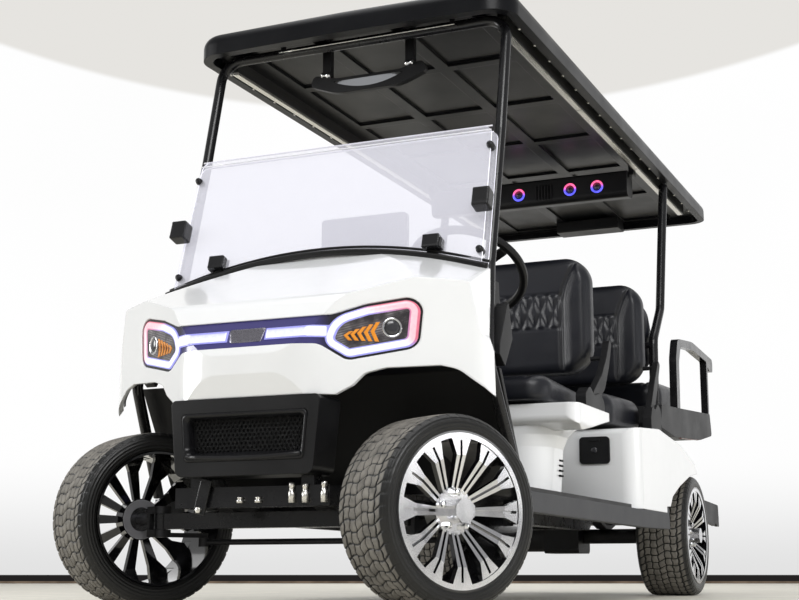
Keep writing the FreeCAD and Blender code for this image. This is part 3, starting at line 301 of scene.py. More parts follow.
def led_light(name, core):
    """Light tube: rose over the top and outer end, blue-white below, a white core facing out."""
    r = Recipe(name)
    z, across = r.axis("Z"), r.across()
    high = r.ramp(z, 0.735, 0.765)
    outer = r.ramp(across, 0.375, 0.41)
    clear = r.times(r.ramp(across, 0.27, 0.33), r.ramp(z, 0.655, 0.685))
    rose = r.times(r.math("MAXIMUM", high, outer), clear)
    hue = r.mix(rose, (0.34, 0.34, 0.86), (0.78, 0.16, 0.24))
    if core:
        centre = r.mix(rose, (0.95, 0.97, 1.0), (0.98, 0.60, 0.66))
        outward = r.out("VectorMath", {0: r.facing}, operation="ABSOLUTE")
        face = r.dot(outward, (0.46, 0.88, 0.10))
        hue = r.mix(r.ramp(face, 0.62, 0.93), hue, centre)
    strength = r.remap(r.noise(120.0, 2.0), 0.3, 0.7, 0.95, 1.1)
    return r.finish(r.glow((0.05, 0.05, 0.06), 0.3, hue, strength))


def speaker_light(name):
    """Ring light that runs from rose at its top to blue below."""
    r = Recipe(name)
    hue = r.mix(r.ramp(r.axis("Z"), 1.640, 1.662), (0.10, 0.10, 1.0), (1.0, 0.12, 0.30))
    strength = r.remap(r.noise(90.0, 2.0), 0.35, 0.65, 1.1, 1.8)
    return r.finish(r.glow((0.05, 0.05, 0.08), 0.3, hue, strength))


def lamp_black(name):
    """Gloss black lamp panel with painted indigo light from the light bar near its middle, in its
    colour and a faint glow.
    """
    r = Recipe(name)
    near = r.ramp(r.across(), 0.18, 0.235, 1.0, 0.0)
    # Painted reflection: the panel turns indigo and glows faintly towards the light bar, standing in
    # for that bar's light on it.
    tone = r.mix(near, (0.012, 0.011, 0.014), (0.04, 0.036, 0.12))
    rough = r.remap(r.noise(30.0), 0.3, 0.7, 0.12, 0.22)
    normal = r.bump(r.noise(260.0, 1.0), 0.04, 0.0003)
    return r.finish(r.principled(tone, rough, Normal=normal, Coat_Weight=0.5,
                                 Emission_Color=(0.10, 0.08, 0.50),
                                 Emission_Strength=r.times(near, 0.10)))


def lamp_house(name):
    """Smoked lens with the ribbed grey reflector behind it, and painted highlight streaks along the
    ribs.
    """
    r = Recipe(name)
    slope = r.math("SUBTRACT", r.times(r.axis("Z"), 3.0), r.across())
    ribs = r.math("SINE", r.times(slope, 330.0))
    deep = r.noise(18.0)
    # Painted highlight: pale streaks along the reflector's ribs stand in for lamps mirrored in it,
    # mixed into the colour below.
    band = r.ramp(ribs, -0.4, 1.0, 0.0, 0.6)
    base = r.mix(r.remap(deep, 0.35, 0.65), (0.025, 0.02, 0.024), (0.11, 0.10, 0.105))
    tone = r.mix(r.times(band, r.remap(deep, 0.45, 0.7)), base, (0.50, 0.47, 0.50))
    return r.finish(r.principled(tone, r.remap(deep, 0.3, 0.7, 0.15, 0.3), 0.3,
                                 Normal=r.bump(ribs, 0.2, 0.0006), Coat_Weight=1.0,
                                 Coat_Roughness=0.03))


# Every look: its recipe and what that is given
LOOKS = {
    "white": (paint, (0.83, 0.84, 0.85)),
    "trim": (plastic, (0.0055, 0.0055, 0.0062), 0.42),
    "rocker": (plastic, (0.043, 0.044, 0.048), 0.5),
    "roof": (plastic, (0.0026, 0.0028, 0.0038), 0.34, 500.0, 0.00025, 0.35, 0.2),
    "steel": (coated_steel, (0.0048, 0.0048, 0.0056), 0.26),
    "cast": (metal, (0.045, 0.045, 0.048), 0.5),
    "alu": (metal, (0.16, 0.16, 0.16), 0.4, (1.0, 0.02, 1.0)),
    "chrome": (metal, (0.85, 0.86, 0.88), 0.10),
    "vinyl": (vinyl, (0.0062, 0.0068, 0.0100)),
    "glass": (clear_sheet, (0.99, 0.99, 0.995), 0.24),
    "grey_box": (plastic, (0.10, 0.10, 0.105), 0.5),
    "pale_edge": (paint, (0.84, 0.84, 0.90), 0.12),
    "seal": (plastic, (0.005, 0.005, 0.005), 0.35, 1500.0),
    "clip": (plastic, (0.012, 0.012, 0.013), 0.22, 1500.0),
    "recess": (plastic, (0.007, 0.007, 0.008), 0.24, 1500.0),
    "strip": (metal, (0.86, 0.84, 0.79), 0.3, (1.0, 0.05, 1.0)),
    "mirror": (metal, (0.7, 0.72, 0.75), 0.06),
    "led": (led_light, False),
    "led_core": (led_light, True),
    "lamp_black": (lamp_black,),
    "lamp_house": (lamp_house,),
    "amber": (paint, (0.85, 0.30, 0.02), 0.15),
    "smoke": (paint, (0.03, 0.03, 0.035), 0.04),
    "screen": (paint, (0.16, 0.16, 0.19), 0.25),
    "liner": (plastic, (0.006, 0.006, 0.007), 0.7),
    "badge": (metal, (0.30, 0.29, 0.33), 0.28),
    "red_strip": (paint, (0.14, 0.008, 0.012), 0.3),
    "speaker": (speaker_light,),
}
MATERIALS = {name: recipe(name, *values) for name, (recipe, *values) in LOOKS.items()}

NODE_MATERIALS = {
    "white": ("front_cowl", "front_seat_pod", "rear_body"),
    "trim": ("front_bumper", "dash", "steering_wheel", "steering_column", "floor_pan",
             "charge_port", "footrest", "rear_seat_shell", "hip_restraints", "windscreen_clips",
             "sound_bar", "roof_rear_box", "mirror", "rear_seat_hinge", "side_trims"),
    "rocker": ("rocker_panels",),
    "roof": ("roof",),
    "steel": ("chassis_frame", "front_axle", "front_hoop", "rear_struts", "rear_armrests"),
    "cast": ("knuckle_left", "knuckle_right", "front_springs", "rear_springs", "tie_rod",
             "rear_axle"),
    "alu": ("roof_rails",),
    "grey_box": ("battery_pack",),
    "lamp_black": ("lamp_panel",),
    "screen": ("dash_screen",),
    "glass": ("windscreen", "windscreen_upper"),
    "lamp_house": ("headlamps",),
    "led": ("light_band",),
    "liner": ("front_liner",),
}


def dress(node, material):
    """Give a CAD node's every slot one material."""
    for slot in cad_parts[node].material_slots:
        slot.material = material


def dress_frame():
    """Give every visible CAD node its look, and each rim one that knows where its wheel faces."""
    for key, names in NODE_MATERIALS.items():
        for name in names:
            dress(name, MATERIALS[key])
    for corner, (centre, turn) in wheel_places().items():
        dress("rim_" + corner, rim_alloy("rim_" + corner, centre, turn))


# Building pieces

RIB_DEPTH = 1.6  # of the block's ribs, in millimetres

def circle(sides, start=0.0):
    """Cosine and sine of every corner of a round section, from a start angle on."""
    angles = [start + 2 * math.pi * k / sides for k in range(sides)]
    return [(math.cos(a), math.sin(a)) for a in angles]


def net(rings, count, start=0, wrap=False):
    """Faces between rings of count points each, the last ring joined to the first if wrapped."""
    faces = []
    for ring in range(rings if wrap else rings - 1):
        here, ahead = start + ring * count, start + (ring + 1) % rings * count
        for k in range(count):
            j = (k + 1) % count
            faces.append((here + k, here + j, ahead + j, ahead + k))
    return faces


def caps(rings, count, start=0):
    """Faces that close the first ring and the last."""
    last = start + (rings - 1) * count
    return [tuple(start + k for k in reversed(range(count))),
            tuple(last + k for k in range(count))]


def added(name, data):
    """A new object in the scene."""
    item = bpy.data.objects.new(name, data)
    scene.collection.objects.link(item)
    return item


def placed(name, mesh, material, body):
    """A mesh as an object on a body, with a look."""
    mesh.materials.append(MATERIALS[material])
    item = added(name, mesh)
    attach(item, body)
    return item


def piece(name, vertices, faces, material, body="chassis", smooth=True,
          turn=None):
    """A mesh object from points and faces, in the frame's own metres once it is turned."""
    mesh = bpy.data.meshes.new(name)
    mesh.from_pydata([tuple(v) for v in vertices], [], faces)
    if turn is not None:
        mesh.transform(turn)
    mesh.validate()
    mesh.update()
    for polygon in mesh.polygons:
        polygon.use_smooth = smooth
    return placed(name, mesh, material, body)


def tube(name, points, radius, material, sides=12, flat=1.0):
    """A closed-ended tube through points in the frame."""
    vertices = []
    last = len(points) - 1
    for i, spot in enumerate(points):
        along = (points[min(i + 1, last)] - points[max(i - 1, 0)]).normalized()
        side = along.cross(Vector((0, 0, 1))).normalized()
        up = side.cross(along).normalized()
        vertices += [spot + (side * c + up * s * flat) * radius * MM for c, s in circle(sides)]
    piece(name, vertices, net(len(points), sides) + caps(len(points), sides), material)


def turned(name, centre, axis, profile, material, sides=24, ring=False,
           copies=1, pitch=0.0):
    """A turned part or ring from (radius, reach) in millimetres, with copies in a row along Y."""
    axis = Vector(axis).normalized()
    helper = Vector((0, 0, 1)) if abs(axis.z) < 0.9 else Vector((1, 0, 0))
    first = axis.cross(helper).normalized()
    second = axis.cross(first)
    rings = len(profile)
    vertices, faces = [], []
    for k in range(copies):
        faces += net(rings, sides, len(vertices), ring)
        faces += [] if ring else caps(rings, sides, len(vertices))
        spot = centre + Vector((0, k * pitch * MM, 0))
        vertices += [spot + ((first * c + second * s) * radius + axis * reach) * MM
                     for radius, reach in profile for c, s in circle(sides)]
    piece(name, vertices, faces, material)


def block(name, centre, size, bevel, material, turn=Matrix.Identity(4),
          ribs=0):
    """A small moulded block with bevelled edges, ribbed across its front when asked."""
    form = bmesh.new()
    bmesh.ops.create_cube(form, size=1.0)
    bmesh.ops.scale(form, vec=Vector(size) * MM, verts=form.verts)
    if ribs:
        front = [f for f in form.faces if f.normal.y < -0.9]
        tall = size[2] * MM * 0.9
        edges = [e for e in front[0].edges if abs((e.verts[0].co - e.verts[1].co).z) > tall]
        bmesh.ops.subdivide_edges(form, edges=edges, cuts=ribs * 2, use_grid_fill=True)
        strips = sorted((f for f in form.faces if f.normal.y < -0.9),
                        key=lambda f: f.calc_center_median().z)
        for face in strips[1::2]:
            bmesh.ops.translate(form, vec=Vector((0, RIB_DEPTH * MM, 0)), verts=face.verts)
    bmesh.ops.bevel(form, geom=form.edges[:], offset=bevel * MM, segments=2, affect="EDGES",
                    profile=0.6, clamp_overlap=True)
    form.transform(Matrix.Translation(centre) @ turn)
    mesh = bpy.data.meshes.new(name)
    form.to_mesh(mesh)
    form.free()
    placed(name, mesh, material, "chassis")


def smoother(x):
    """From 0 at 0 to 1 at 1, with an eased start and end."""
    x = min(max(x, 0.0), 1.0)
    return x * x * (3 - 2 * x)


def groove(distance, width):
    """1 on a line and 0 past its half width, with rounded shoulders."""
    return 1 - smoother(abs(distance) / width)


# Wheels, in millimetres across from the wheel's middle plane and out from its axis

TYRE_WALL = [(86, 184.2), (93, 185.5), (97.5, 190), (99.8, 197), (101, 205), (101.4, 212),
             (100.4, 220), (98, 226), (94.5, 231), (90, 234.8)]
TREAD_HALF, TREAD_STEP, TREAD_SEGMENTS = 86, 2.05, 528
CROWN_FOOT, CROWN_RISE, CROWN_HALF = 236.2, 3.2, 88
SHOULDER_FOOT, SHOULDER_TOP = 217, 233
SHOULDER_DEPTH, SHOULDER_GAP, SHOULDER_FADE, SHOULDER_LEAN = 2.8, 3.6, 3.0, 30
GROOVES = ((-66, 5.0), (-40, 3.8), (-13.5, 3.8), (13.5, 3.8), (40, 3.8), (66, 5.0))
GROOVE_DEPTH, GROOVE_WAVE, GROOVE_PHASE = 5.5, 1.9, 2.1
PITCHES = 50
PITCH_LENGTH = 2 * math.pi * TYRE_RADIUS / MM / PITCHES
SIPE_DEPTH, SIPE_GAP = 5.2, 3.4
SIPE_BEND, SIPE_WAVE, SIPE_SLANT = 0.16, 12.0, 150.0
LUG_NUTS, LUG_CIRCLE, LUG_START = 5, 44.5, 0.3
LUG_PROFILE = [(68.0, 9.5), (79.0, 9.2), (84.0, 8.0), (86.5, 5.0), (87.2, 1.5)]


def cross_cut(x, along, gap, ahead=0.0):
    """Share of full depth of the cuts across the tread, which lean and bend with x."""
    lean = SIPE_BEND * math.sin(x / SIPE_WAVE) + x / SIPE_SLANT + ahead
    return groove(((PITCHES * along + lean) % 1.0 - 0.5) * PITCH_LENGTH, gap)


def tread_depth(x, along):
    """How deep the tread is cut at x across and a share along the circumference."""
    depth = 0.0
    beat = 2 * math.pi * PITCHES * along
    for k, (line, width) in enumerate(GROOVES):
        wave = GROOVE_WAVE * math.sin(beat + k * GROOVE_PHASE)
        depth = max(depth, GROOVE_DEPTH * groove(x - line - wave, width))
    return max(depth, SIPE_DEPTH * cross_cut(x, along, SIPE_GAP))


def cut_depth(x, r, along):
    """How deep the tyre is cut at any place of its section."""
    if r > SHOULDER_TOP:
        return tread_depth(x, along) * min(1.0, (r - SHOULDER_TOP) / SHOULDER_FADE)
    if r > SHOULDER_FOOT:
        ahead = math.copysign(1, x) * (SHOULDER_TOP - r) / SHOULDER_LEAN
        edge = math.copysign(TREAD_HALF, x)
        return SHOULDER_DEPTH * cross_cut(edge, along, SHOULDER_GAP, ahead)
    return 0.0


def tyre(corner, spot, body):
    """Round-shouldered tyre with a sawn tread and ribbed shoulders."""
    steps = int(TREAD_HALF * 2 / TREAD_STEP)
    profile = list(TYRE_WALL)
    for i in range(steps + 1):
        x = TREAD_HALF - TREAD_HALF * 2 * i / steps
        profile.append((x, CROWN_FOOT + CROWN_RISE * math.sqrt(1 - (abs(x) / CROWN_HALF) ** 3)))
    profile += [(-x, r) for x, r in reversed(TYRE_WALL)]
    vertices = []
    for k, (c, s) in enumerate(circle(TREAD_SEGMENTS)):
        for x, r in profile:
            reach = (r - cut_depth(x, r, k / TREAD_SEGMENTS)) * MM
            vertices.append((x * MM, reach * c, reach * s))
    item = piece("tyre_skin_" + corner, vertices, net(TREAD_SEGMENTS, len(profile), wrap=True),
                 "tyre_" + corner, body, turn=spot)
    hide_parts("tyre_" + corner)


def lug_nuts(corner, spot, body):
    """Chrome nuts round the cap, each a tapered hexagon with a domed end."""
    vertices, faces = [], []
    rings = len(LUG_PROFILE)
    for y, z in circle(LUG_NUTS, LUG_START):
        faces += net(rings, 6, len(vertices)) + caps(rings, 6, len(vertices))
        vertices += [(x * MM, (LUG_CIRCLE * y + r * c) * MM, (LUG_CIRCLE * z + r * s) * MM)
                     for x, r in LUG_PROFILE for c, s in circle(6)]
    piece("lug_nuts_" + corner, vertices, faces, "chrome", body, smooth=False, turn=spot)


def wheels():
    """Tread and nuts for every wheel, on the wheel's own body."""
    for corner, (centre, turn) in wheel_places().items():
        body, look = "wheel_" + corner, "tyre_" + corner
        spot = Matrix.Translation(centre) @ Matrix.Rotation(turn, 4, "Z")
        MATERIALS[look] = tyre_rubber(look, centre, turn)
        tyre(corner, spot, body)
        lug_nuts(corner, spot, body)


# Seats, in millimetres: u across, v up or along, from the middle of each pad

SEAM_FADE = 26
BOLSTER_RISE, SEAM_DEPTH = 7.0, 7.0
CROWN_POWER, BACK_POWER = 2.6, 3.4
QUILT_PITCH, QUILT_PUFF, QUILT_SINK = 47, 5.0, 3.0
BOLSTER_CLIMB = 175
BACK_STEPS, SEAT_STEPS = (224, 104), (150, 76)


def ease(t):
    """Even steps from -1 to 1 drawn closer together towards the ends."""
    return t * (1.5 - 0.5 * t * t)


def swell(distance, radius, power):
    """Height of a rounded edge, from 0 at the seam to 1 past its radius."""
    t = min(distance / radius, 1.0)
    return (1 - (1 - t) ** power) ** (1 / power)


def edge_distance(u, v, half_u, half_v, radius):
    """How far a point lies inside a rounded rectangle."""
    du = abs(u) - (half_u - radius)
    dv = abs(v) - (half_v - radius)
    if du > 0 and dv > 0:
        return radius - math.hypot(du, dv)
    return radius - max(du, dv)


def pillow(name, node, half, corner, crown, back, relief, matrix, steps, edge, body="chassis"):
    """A stuffed closed form: a crowned side and a backed side that meet in a seam all round."""
    half_u, half_v = half
    base, rise = crown
    columns, rows = steps
    vertices, faces, index = [], [], {}
    for side in (0, 1):
        for j in range(rows + 1):
            v = half_v * ease(2 * j / rows - 1)
            over = abs(v) - (half_v - corner)
            trim = corner - math.sqrt(max(0.0, corner ** 2 - over ** 2)) if over > 0 else 0.0
            for i in range(columns + 1):
                rim = i in (0, columns) or j in (0, rows)
                if side and rim:
                    index[side, i, j] = index[0, i, j]
                    continue
                u = (half_u - trim) * ease(2 * i / columns - 1)
                inside = 0.0 if rim else max(0.0, edge_distance(u, v, half_u, half_v, corner))
                if side:
                    height = -back * swell(inside, edge[1], BACK_POWER)
                else:
                    height = base + rise * (1 - (u / half_u) ** 2) * (1 - (v / half_v) ** 2)
                    height = height * swell(inside, edge[0], CROWN_POWER) + relief(u, v, inside)
                index[side, i, j] = len(vertices)
                vertices.append((u * MM, v * MM, height * MM))
        for j in range(rows):
            for i in range(columns):
                ring = [index[side, i + a, j + b] for a, b in ((0, 0), (1, 0), (1, 1), (0, 1))]
                faces.append(tuple(ring[::-1] if side else ring))
    item = piece(name, vertices, faces, "vinyl", body, turn=matrix)
    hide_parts(node)


def quilted_back(half_v, low, high, panel=402, corner=470):
    """Relief of a backrest: bolsters past curved seams, with a band of sewn diamonds between."""
    def relief(u, v, inside):
        climb = max(0.0, (v - (half_v - BOLSTER_CLIMB)) / BOLSTER_CLIMB)
        out = abs(u) - (panel + (corner - panel) * climb ** 2)
        height = BOLSTER_RISE * smoother(out / 42) - SEAM_DEPTH * groove(out, 12)
        if out < 0:
            height -= 3.5 * groove(v - high, 6) + 3.0 * groove(v - low, 6)
            if low < v < high:
                shift = (v - low) * QUILT_PITCH / (high - low)
                near = min(abs((u + way * shift) / QUILT_PITCH % 1.0 - 0.5) for way in (1, -1))
                height += QUILT_PUFF * smoother(near * QUILT_PITCH / 14) - QUILT_SINK
        return height * smoother(inside / SEAM_FADE)
    return relief


def seat_relief(panel, roll=-170):
    """Relief of a seat: bolsters past straight seams, and a seam behind the front roll."""
    def relief(u, v, inside):
        out = abs(u) - panel
        height = BOLSTER_RISE * smoother(out / 50) * smoother(inside / 50)
        height -= SEAM_DEPTH * groove(out, 11)
        if out < 0:
            height -= 5.0 * groove(v - roll, 9)
        return height * smoother(inside / SEAM_FADE)
    return relief


def upright(y, z, way=1, lean=0.0):
    """Places a back: v up, and the crowned side forwards, or rearwards where way is -1."""
    turn = Matrix(((way, 0, 0, 0), (0, 0, -way, 0), (0, 1, 0, 0), (0, 0, 0, 1)))
    return Matrix.Translation(at(0, y, z)) @ Matrix.Rotation(lean, 4, "X") @ turn


def level(y, z, tilt, turn=0.0):
    """Places a seat: the crowned side up, and v to the rear, or forwards when turned half round."""
    return (Matrix.Translation(at(0, y, z)) @ Matrix.Rotation(turn, 4, "Z")
            @ Matrix.Rotation(math.radians(tilt), 4, "X"))


def seats():
    """The six pads, each in place of its plain CAD solid."""
    for row, y, z, half_v, base in (("front", 53, 961, 203, 44), ("middle", 781, 1010, 197, 42)):
        pillow(row + "_back_pad", row + "_back", (499, half_v), 92, (base, 6), 42,
               quilted_back(half_v, -45, 72), upright(y, z), BACK_STEPS, (40, 30))
    pillow("front_seat_pad", "front_cushion", (499, 244), 70, (42, 10), 38, seat_relief(435),
           level(-245, 641.5, -2), SEAT_STEPS, (46, 26))
    pillow("middle_seat_pad", "middle_cushion", (499, 245), 70, (58, 12), 50, seat_relief(435),
           level(481.5, 665.5, 2), SEAT_STEPS, (50, 26))
    pillow("rear_seat_pad", "rear_cushion", (469, 236), 70, (62, 12), 50, seat_relief(405),
           level(1362.5, 813, -2, math.pi), (140, 70), (50, 26), "rear_cushion")
    pillow("rear_back_pad", "rear_back", (479, 152), 85, (50, 14), 44,
           quilted_back(152, -50, 45, 385, 448), upright(984, 1036, -1, math.radians(36)),
           (150, 64), (44, 34))


# Laying trim on the body

def surface(*names):
    """The named CAD faces as one tree that rays can meet."""
    gathered = bmesh.new()
    for name in names:
        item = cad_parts[name]
        mesh = item.data.copy()
        mesh.transform(item.matrix_world)
        gathered.from_mesh(mesh)
        bpy.data.meshes.remove(mesh)
    tree = BVHTree.FromBMesh(gathered)
    gathered.free()
    return tree


def from_front(tree, x, z, lift=0.0):
    """Where a line from the front meets the surface, lifted off it, and the way it faces."""
    spot, normal, _, _ = tree.ray_cast(Vector((x * MM, -3.0, z * MM)), Vector((0, 1, 0)))
    if spot is None:
        raise RuntimeError("No surface at x %.1f, z %.1f" % (x, z))
    if normal.y > 0:
        normal = -normal
    return spot + normal * lift * MM, normal


def corners(outline):
    """Each (u, v, radius) corner, with the directions from it to its neighbours."""
    for i, (u, v, radius) in enumerate(outline):
        here = Vector((u, v))
        before, after = Vector(outline[i - 1][:2]), Vector(outline[(i + 1) % len(outline)][:2])
        yield here, radius, (before - here).normalized(), (after - here).normalized()


def rounded(outline, step=3.0):
    """A closed outline of corners as a dense line of points."""
    line = []
    for here, radius, back, ahead in corners(outline):
        half = back.angle(ahead) / 2
        reach = radius / math.tan(half)
        centre = here + (back + ahead).normalized() * radius / math.sin(half)
        first, last = here + back * reach - centre, here + ahead * reach - centre
        turn = first.angle_signed(last)
        pieces = max(2, int(abs(turn) * radius / step))
        for k in range(pieces + 1):
            c, s = math.cos(-turn * k / pieces), math.sin(-turn * k / pieces)
            line.append(centre + Vector((first.x * c - first.y * s, first.x * s + first.y * c)))
    dense = []
    for i, here in enumerate(line):
        ahead = line[(i + 1) % len(line)]
        pieces = max(1, int((ahead - here).length / step))
        dense += [here.lerp(ahead, k / pieces) for k in range(pieces)]
    return dense


def drawn_in(outline, gap):
    """A clockwise outline moved inwards, its corners rounded by that much less."""
    result = []
    for here, radius, back, ahead in corners(outline):
        first, second = Vector((-back.y, back.x)), Vector((ahead.y, -ahead.x))
        corner = here + (first + second) * gap / (1 + first.dot(second))
        result.append((*corner, radius - gap))
    return result


BEAD_SINK, BEAD_SIDES = 1.0, 8
PLATE_LAYERS = 6


def bead(name, tree, line, half, height, closed=True):
    """A half-round strip of light laid along a line on the surface."""
    spots = [from_front(tree, x, z, -BEAD_SINK) for x, z in line]
    count, wide = len(spots), BEAD_SIDES + 1
    vertices = []
    for i, (spot, normal) in enumerate(spots):
        before = spots[i - 1][0] if closed or i else spot
        after = spots[(i + 1) % count][0] if closed or i < count - 1 else spot
        across = (after - before).normalized().cross(normal).normalized()
        for k in range(wide):
            angle = math.pi * k / BEAD_SIDES
            vertices.append(spot + across * half * MM * math.cos(angle)
                            + normal * (height + BEAD_SINK) * MM * math.sin(angle))
    faces = net(count, wide, wrap=closed)
    if not closed:
        faces += caps(count, wide)
    piece(name, vertices, faces, "led_core")


def plate(name, tree, outline, lift, sink, material):
    """A thin plate with an edge, its outline seen from the front and laid on the surface."""
    line = rounded(outline, 4.0)
    middle = sum(line, Vector((0, 0))) / len(line)
    rings = [[p + (middle - p).normalized() * inset for p in line] for inset in (0.0, 0.0, 0.9)]
    rings += [[p.lerp(middle, layer / PLATE_LAYERS) for p in line]
              for layer in range(1, PLATE_LAYERS)]
    heights = [-sink, lift - 0.6] + [lift] * PLATE_LAYERS
    vertices = [from_front(tree, p.x, p.y, height)[0]
                for ring, height in zip(rings, heights) for p in ring]
    vertices.append(from_front(tree, middle.x, middle.y, lift)[0])
    count, end = len(line), len(vertices) - 1
    faces = net(len(rings), count)
    faces += [(end - count + i, end - count + (i + 1) % count, end) for i in range(count)]
    piece(name, vertices, faces, material)


# Lamps, in millimetres seen from the front

LAMP = [(225, 735, 80), (301, 766, 80), (432, 797, 36), (420, 657, 40), (263, 619, 30),
        (201, 661, 40)]
LAMP_INSET = 18
LIGHT_BAR_HEIGHT = 693.5
CHEVRONS, CHEVRON_START, CHEVRON_PITCH = 5, 255, 14.5
PROJECTOR_RIM = [(26, -0.5), (26, 1.2), (24.5, 2.0), (21.5, 2.0), (20.5, 0.6), (20.5, -0.5)]
PROJECTOR_DOME = [(20, -0.5), (20, 0.8), (17, 2.4), (12, 3.4), (6, 4.0), (1, 4.1)]
BADGE = [(-54, 711, 5), (54, 711, 5), (46, 674, 5), (-46, 674, 5)]


def chevron(name, tree, side, k):
    """One of the swept amber markers that stand side by side on the lens."""
    x = CHEVRON_START + k * CHEVRON_PITCH
    top, low = 694 + (x - CHEVRON_START) * 0.44, 671 - k * 0.4
    mid = (top + low) / 2 + 1
    outline = [(x, mid), (x + 12, top), (x + 21, top + 1), (x + 9, mid), (x + 19, low),
               (x + 10, low)]
    if side < 0:
        outline = [(-u, v) for u, v in reversed(outline)]
    count = len(outline)
    vertices = [from_front(tree, u, v, height)[0] for height in (-0.5, 1.2) for u, v in outline]
    faces = net(2, count)
    faces += [(count, count + 1, count + 2, count + 3), (count, count + 3, count + 4, count + 5)]
    piece(name, vertices, faces, "amber", smooth=False)


def lamps():
    """Glowing beads over the light band, chevrons, projectors and the plain plate between them."""
    tree = surface("light_band", "headlamps", "lamp_panel", "front_cowl")
    for side, name in SIDES:
        ring = rounded(drawn_in(LAMP, LAMP_INSET))
        bead("light_ring_" + name, tree, [(x * side, z) for x, z in ring], 9.5, 3.2)
        bar = [(x * side, LIGHT_BAR_HEIGHT) for x in range(60, 222, 4)]
        bead("light_bar_" + name, tree, bar, 13.5, 2.4, closed=False)
        for k in range(CHEVRONS):
            chevron("amber_chevron_%s%d" % (name, k), tree, side, k)
        spot, normal = from_front(tree, 360 * side, 707)
        turned("projector_rim_" + name, spot, normal, PROJECTOR_RIM, "chrome", 40,
               ring=True)
        turned("projector_dome_" + name, spot, normal, PROJECTOR_DOME, "smoke", 40)
    plate("blank_badge", tree, BADGE, 2.4, 8.0, "badge")


# Windscreen, in millimetres

COWL_HALF, COWL_SIDE, COWL_MIDDLE = 518, 908, 1054
COWL_ARCH = 0.85 * COWL_HALF
SCREEN_FOOT, SCREEN_FOOT_Y, SCREEN_SLOPE = 880, -1023.6, 0.3
KNOB = [(11, -20), (11, 1), (9, 3), (9, 8), (7.5, 10), (3, 10.5)]


def crown_height(x):
    """Height of the cowl's rear edge at x: an arch that runs out into straight flanks."""
    slope = (COWL_MIDDLE - COWL_SIDE) / COWL_HALF
    if abs(x) >= COWL_ARCH:
        return COWL_SIDE + (COWL_HALF - abs(x)) * slope
    flank = math.sqrt(1 + slope ** 2)
    radius = COWL_ARCH * flank / slope
    return COWL_MIDDLE - radius * flank + math.sqrt(radius ** 2 - x * x)


def screen_face(z):
    """How far forward the lower pane stands at a height."""
    return SCREEN_FOOT_Y + SCREEN_SLOPE * (z - SCREEN_FOOT)


def screen_parts():
    """The screen's seal and lip, the panes' pale edges, and the clips and knobs that hold them."""
    for name, radius, y, rise in (("screen_seal", 9.5, -1034, 3.5),
                                  ("screen_seal_lip", 4.0, -1017, 21.5)):
        steps = [-514 + 1028 * i / 96 for i in range(97)]
        tube(name, [at(x, y, crown_height(x) + rise) for x in steps], radius, "seal")
    for name, z, out in (("upper", 1361, 13.0), ("fold", 1346, 18.0), ("lower", 1345, -2.0)):
        edge = [at(-484 + 96.8 * k, screen_face(z) - out, z) for k in range(11)]
        tube("screen_edge_" + name, edge, 2.4, "pale_edge", 8)
    tilt = Matrix.Rotation(math.radians(-16.7), 4, "X")
    for side, name in SIDES:
        for part, place, size, bevel, ribs in (
                ("screen_clip_", (491, -1003, 1113), (50, 46, 58), 5, 2),
                ("foot_clip_", (346, -1026, 999), (50, 26, 40), 4, 3),
                ("foot_wedge_", (368, -1012, 992), (16, 34, 34), 4, 0)):
            x, y, z = place
            block(part + name, at(x * side, y, z), size, bevel, "clip", turn=tilt, ribs=ribs)
        for z in (1296, 968):
            turned("screen_knob_%s_%d" % (name, z), at(485 * side, screen_face(z) - 18, z),
                   PANE_FACING, KNOB, "clip")


# Nose, in millimetres

BUMPER_FRONT = -1450
CELL_FACE = BUMPER_FRONT + 30
CELL_PITCH, CELL_ROWS, CELL_COLUMNS = 12.5, 11, 16
CELL_FOOT, ROW_SHARE = 385, 0.86
MESH_HALF, MESH_FOOT, MESH_FLARE = 146, 371, 0.12
CELL_PROFILE = ((6.6, -0.5), (6.6, -3.5), (4.9, -5.0), (4.3, -0.5))
FRAME_OUTLINE = [(-184, 496, 12), (184, 496, 12), (174, 369, 12), (-174, 369, 12)]
FRAME_PROFILE = ((1.0, 29.5), (1.0, -1.5), (4.0, -3.0), (8.0, -2.0), (17.0, 16.0), (17.0, 29.5))
FITTINGS = ((122, 264, 50), (160, 264, 46), (213, 264, 50), (-27, 266, 14), (26, 266, 14))


def bumper_grille():
    """Raised cells and a frame in the bumper's recess, with the lip below them."""
    cells, faces = [], []
    for row in range(CELL_ROWS):
        z = CELL_FOOT + row * CELL_PITCH * ROW_SHARE
        for column in range(-CELL_COLUMNS, CELL_COLUMNS + 1):
            x = (column + row % 2 / 2) * CELL_PITCH
            if abs(x) > MESH_HALF + (z - MESH_FOOT) * MESH_FLARE:
                continue
            faces += net(len(CELL_PROFILE), 6, len(cells))
            for radius, depth in CELL_PROFILE:
                cells += [at(x + radius * c, CELL_FACE + depth, z + radius * s)
                          for c, s in circle(6, math.pi / 6)]
    piece("bumper_mesh", cells, faces, "recess", smooth=False)
    lip = [at(33 * k, BUMPER_FRONT, 384 - 6 * (1 - (k / 5) ** 2)) for k in range(-5, 6)]
    tube("bumper_lip", lip, 6.5, "clip")
    outer = rounded(FRAME_OUTLINE, 5)
    vertices = []
    for inset, depth in FRAME_PROFILE:
        for p in outer:
            inward = Vector((p.x / 184, (p.y - 432) / 64 * (1.55 if p.y < 400 else 1.0)))
            q = p - inward * inset
            vertices.append(at(q.x, BUMPER_FRONT + depth, q.y))
    piece("bumper_frame", vertices, net(len(FRAME_PROFILE), len(outer)), "recess")


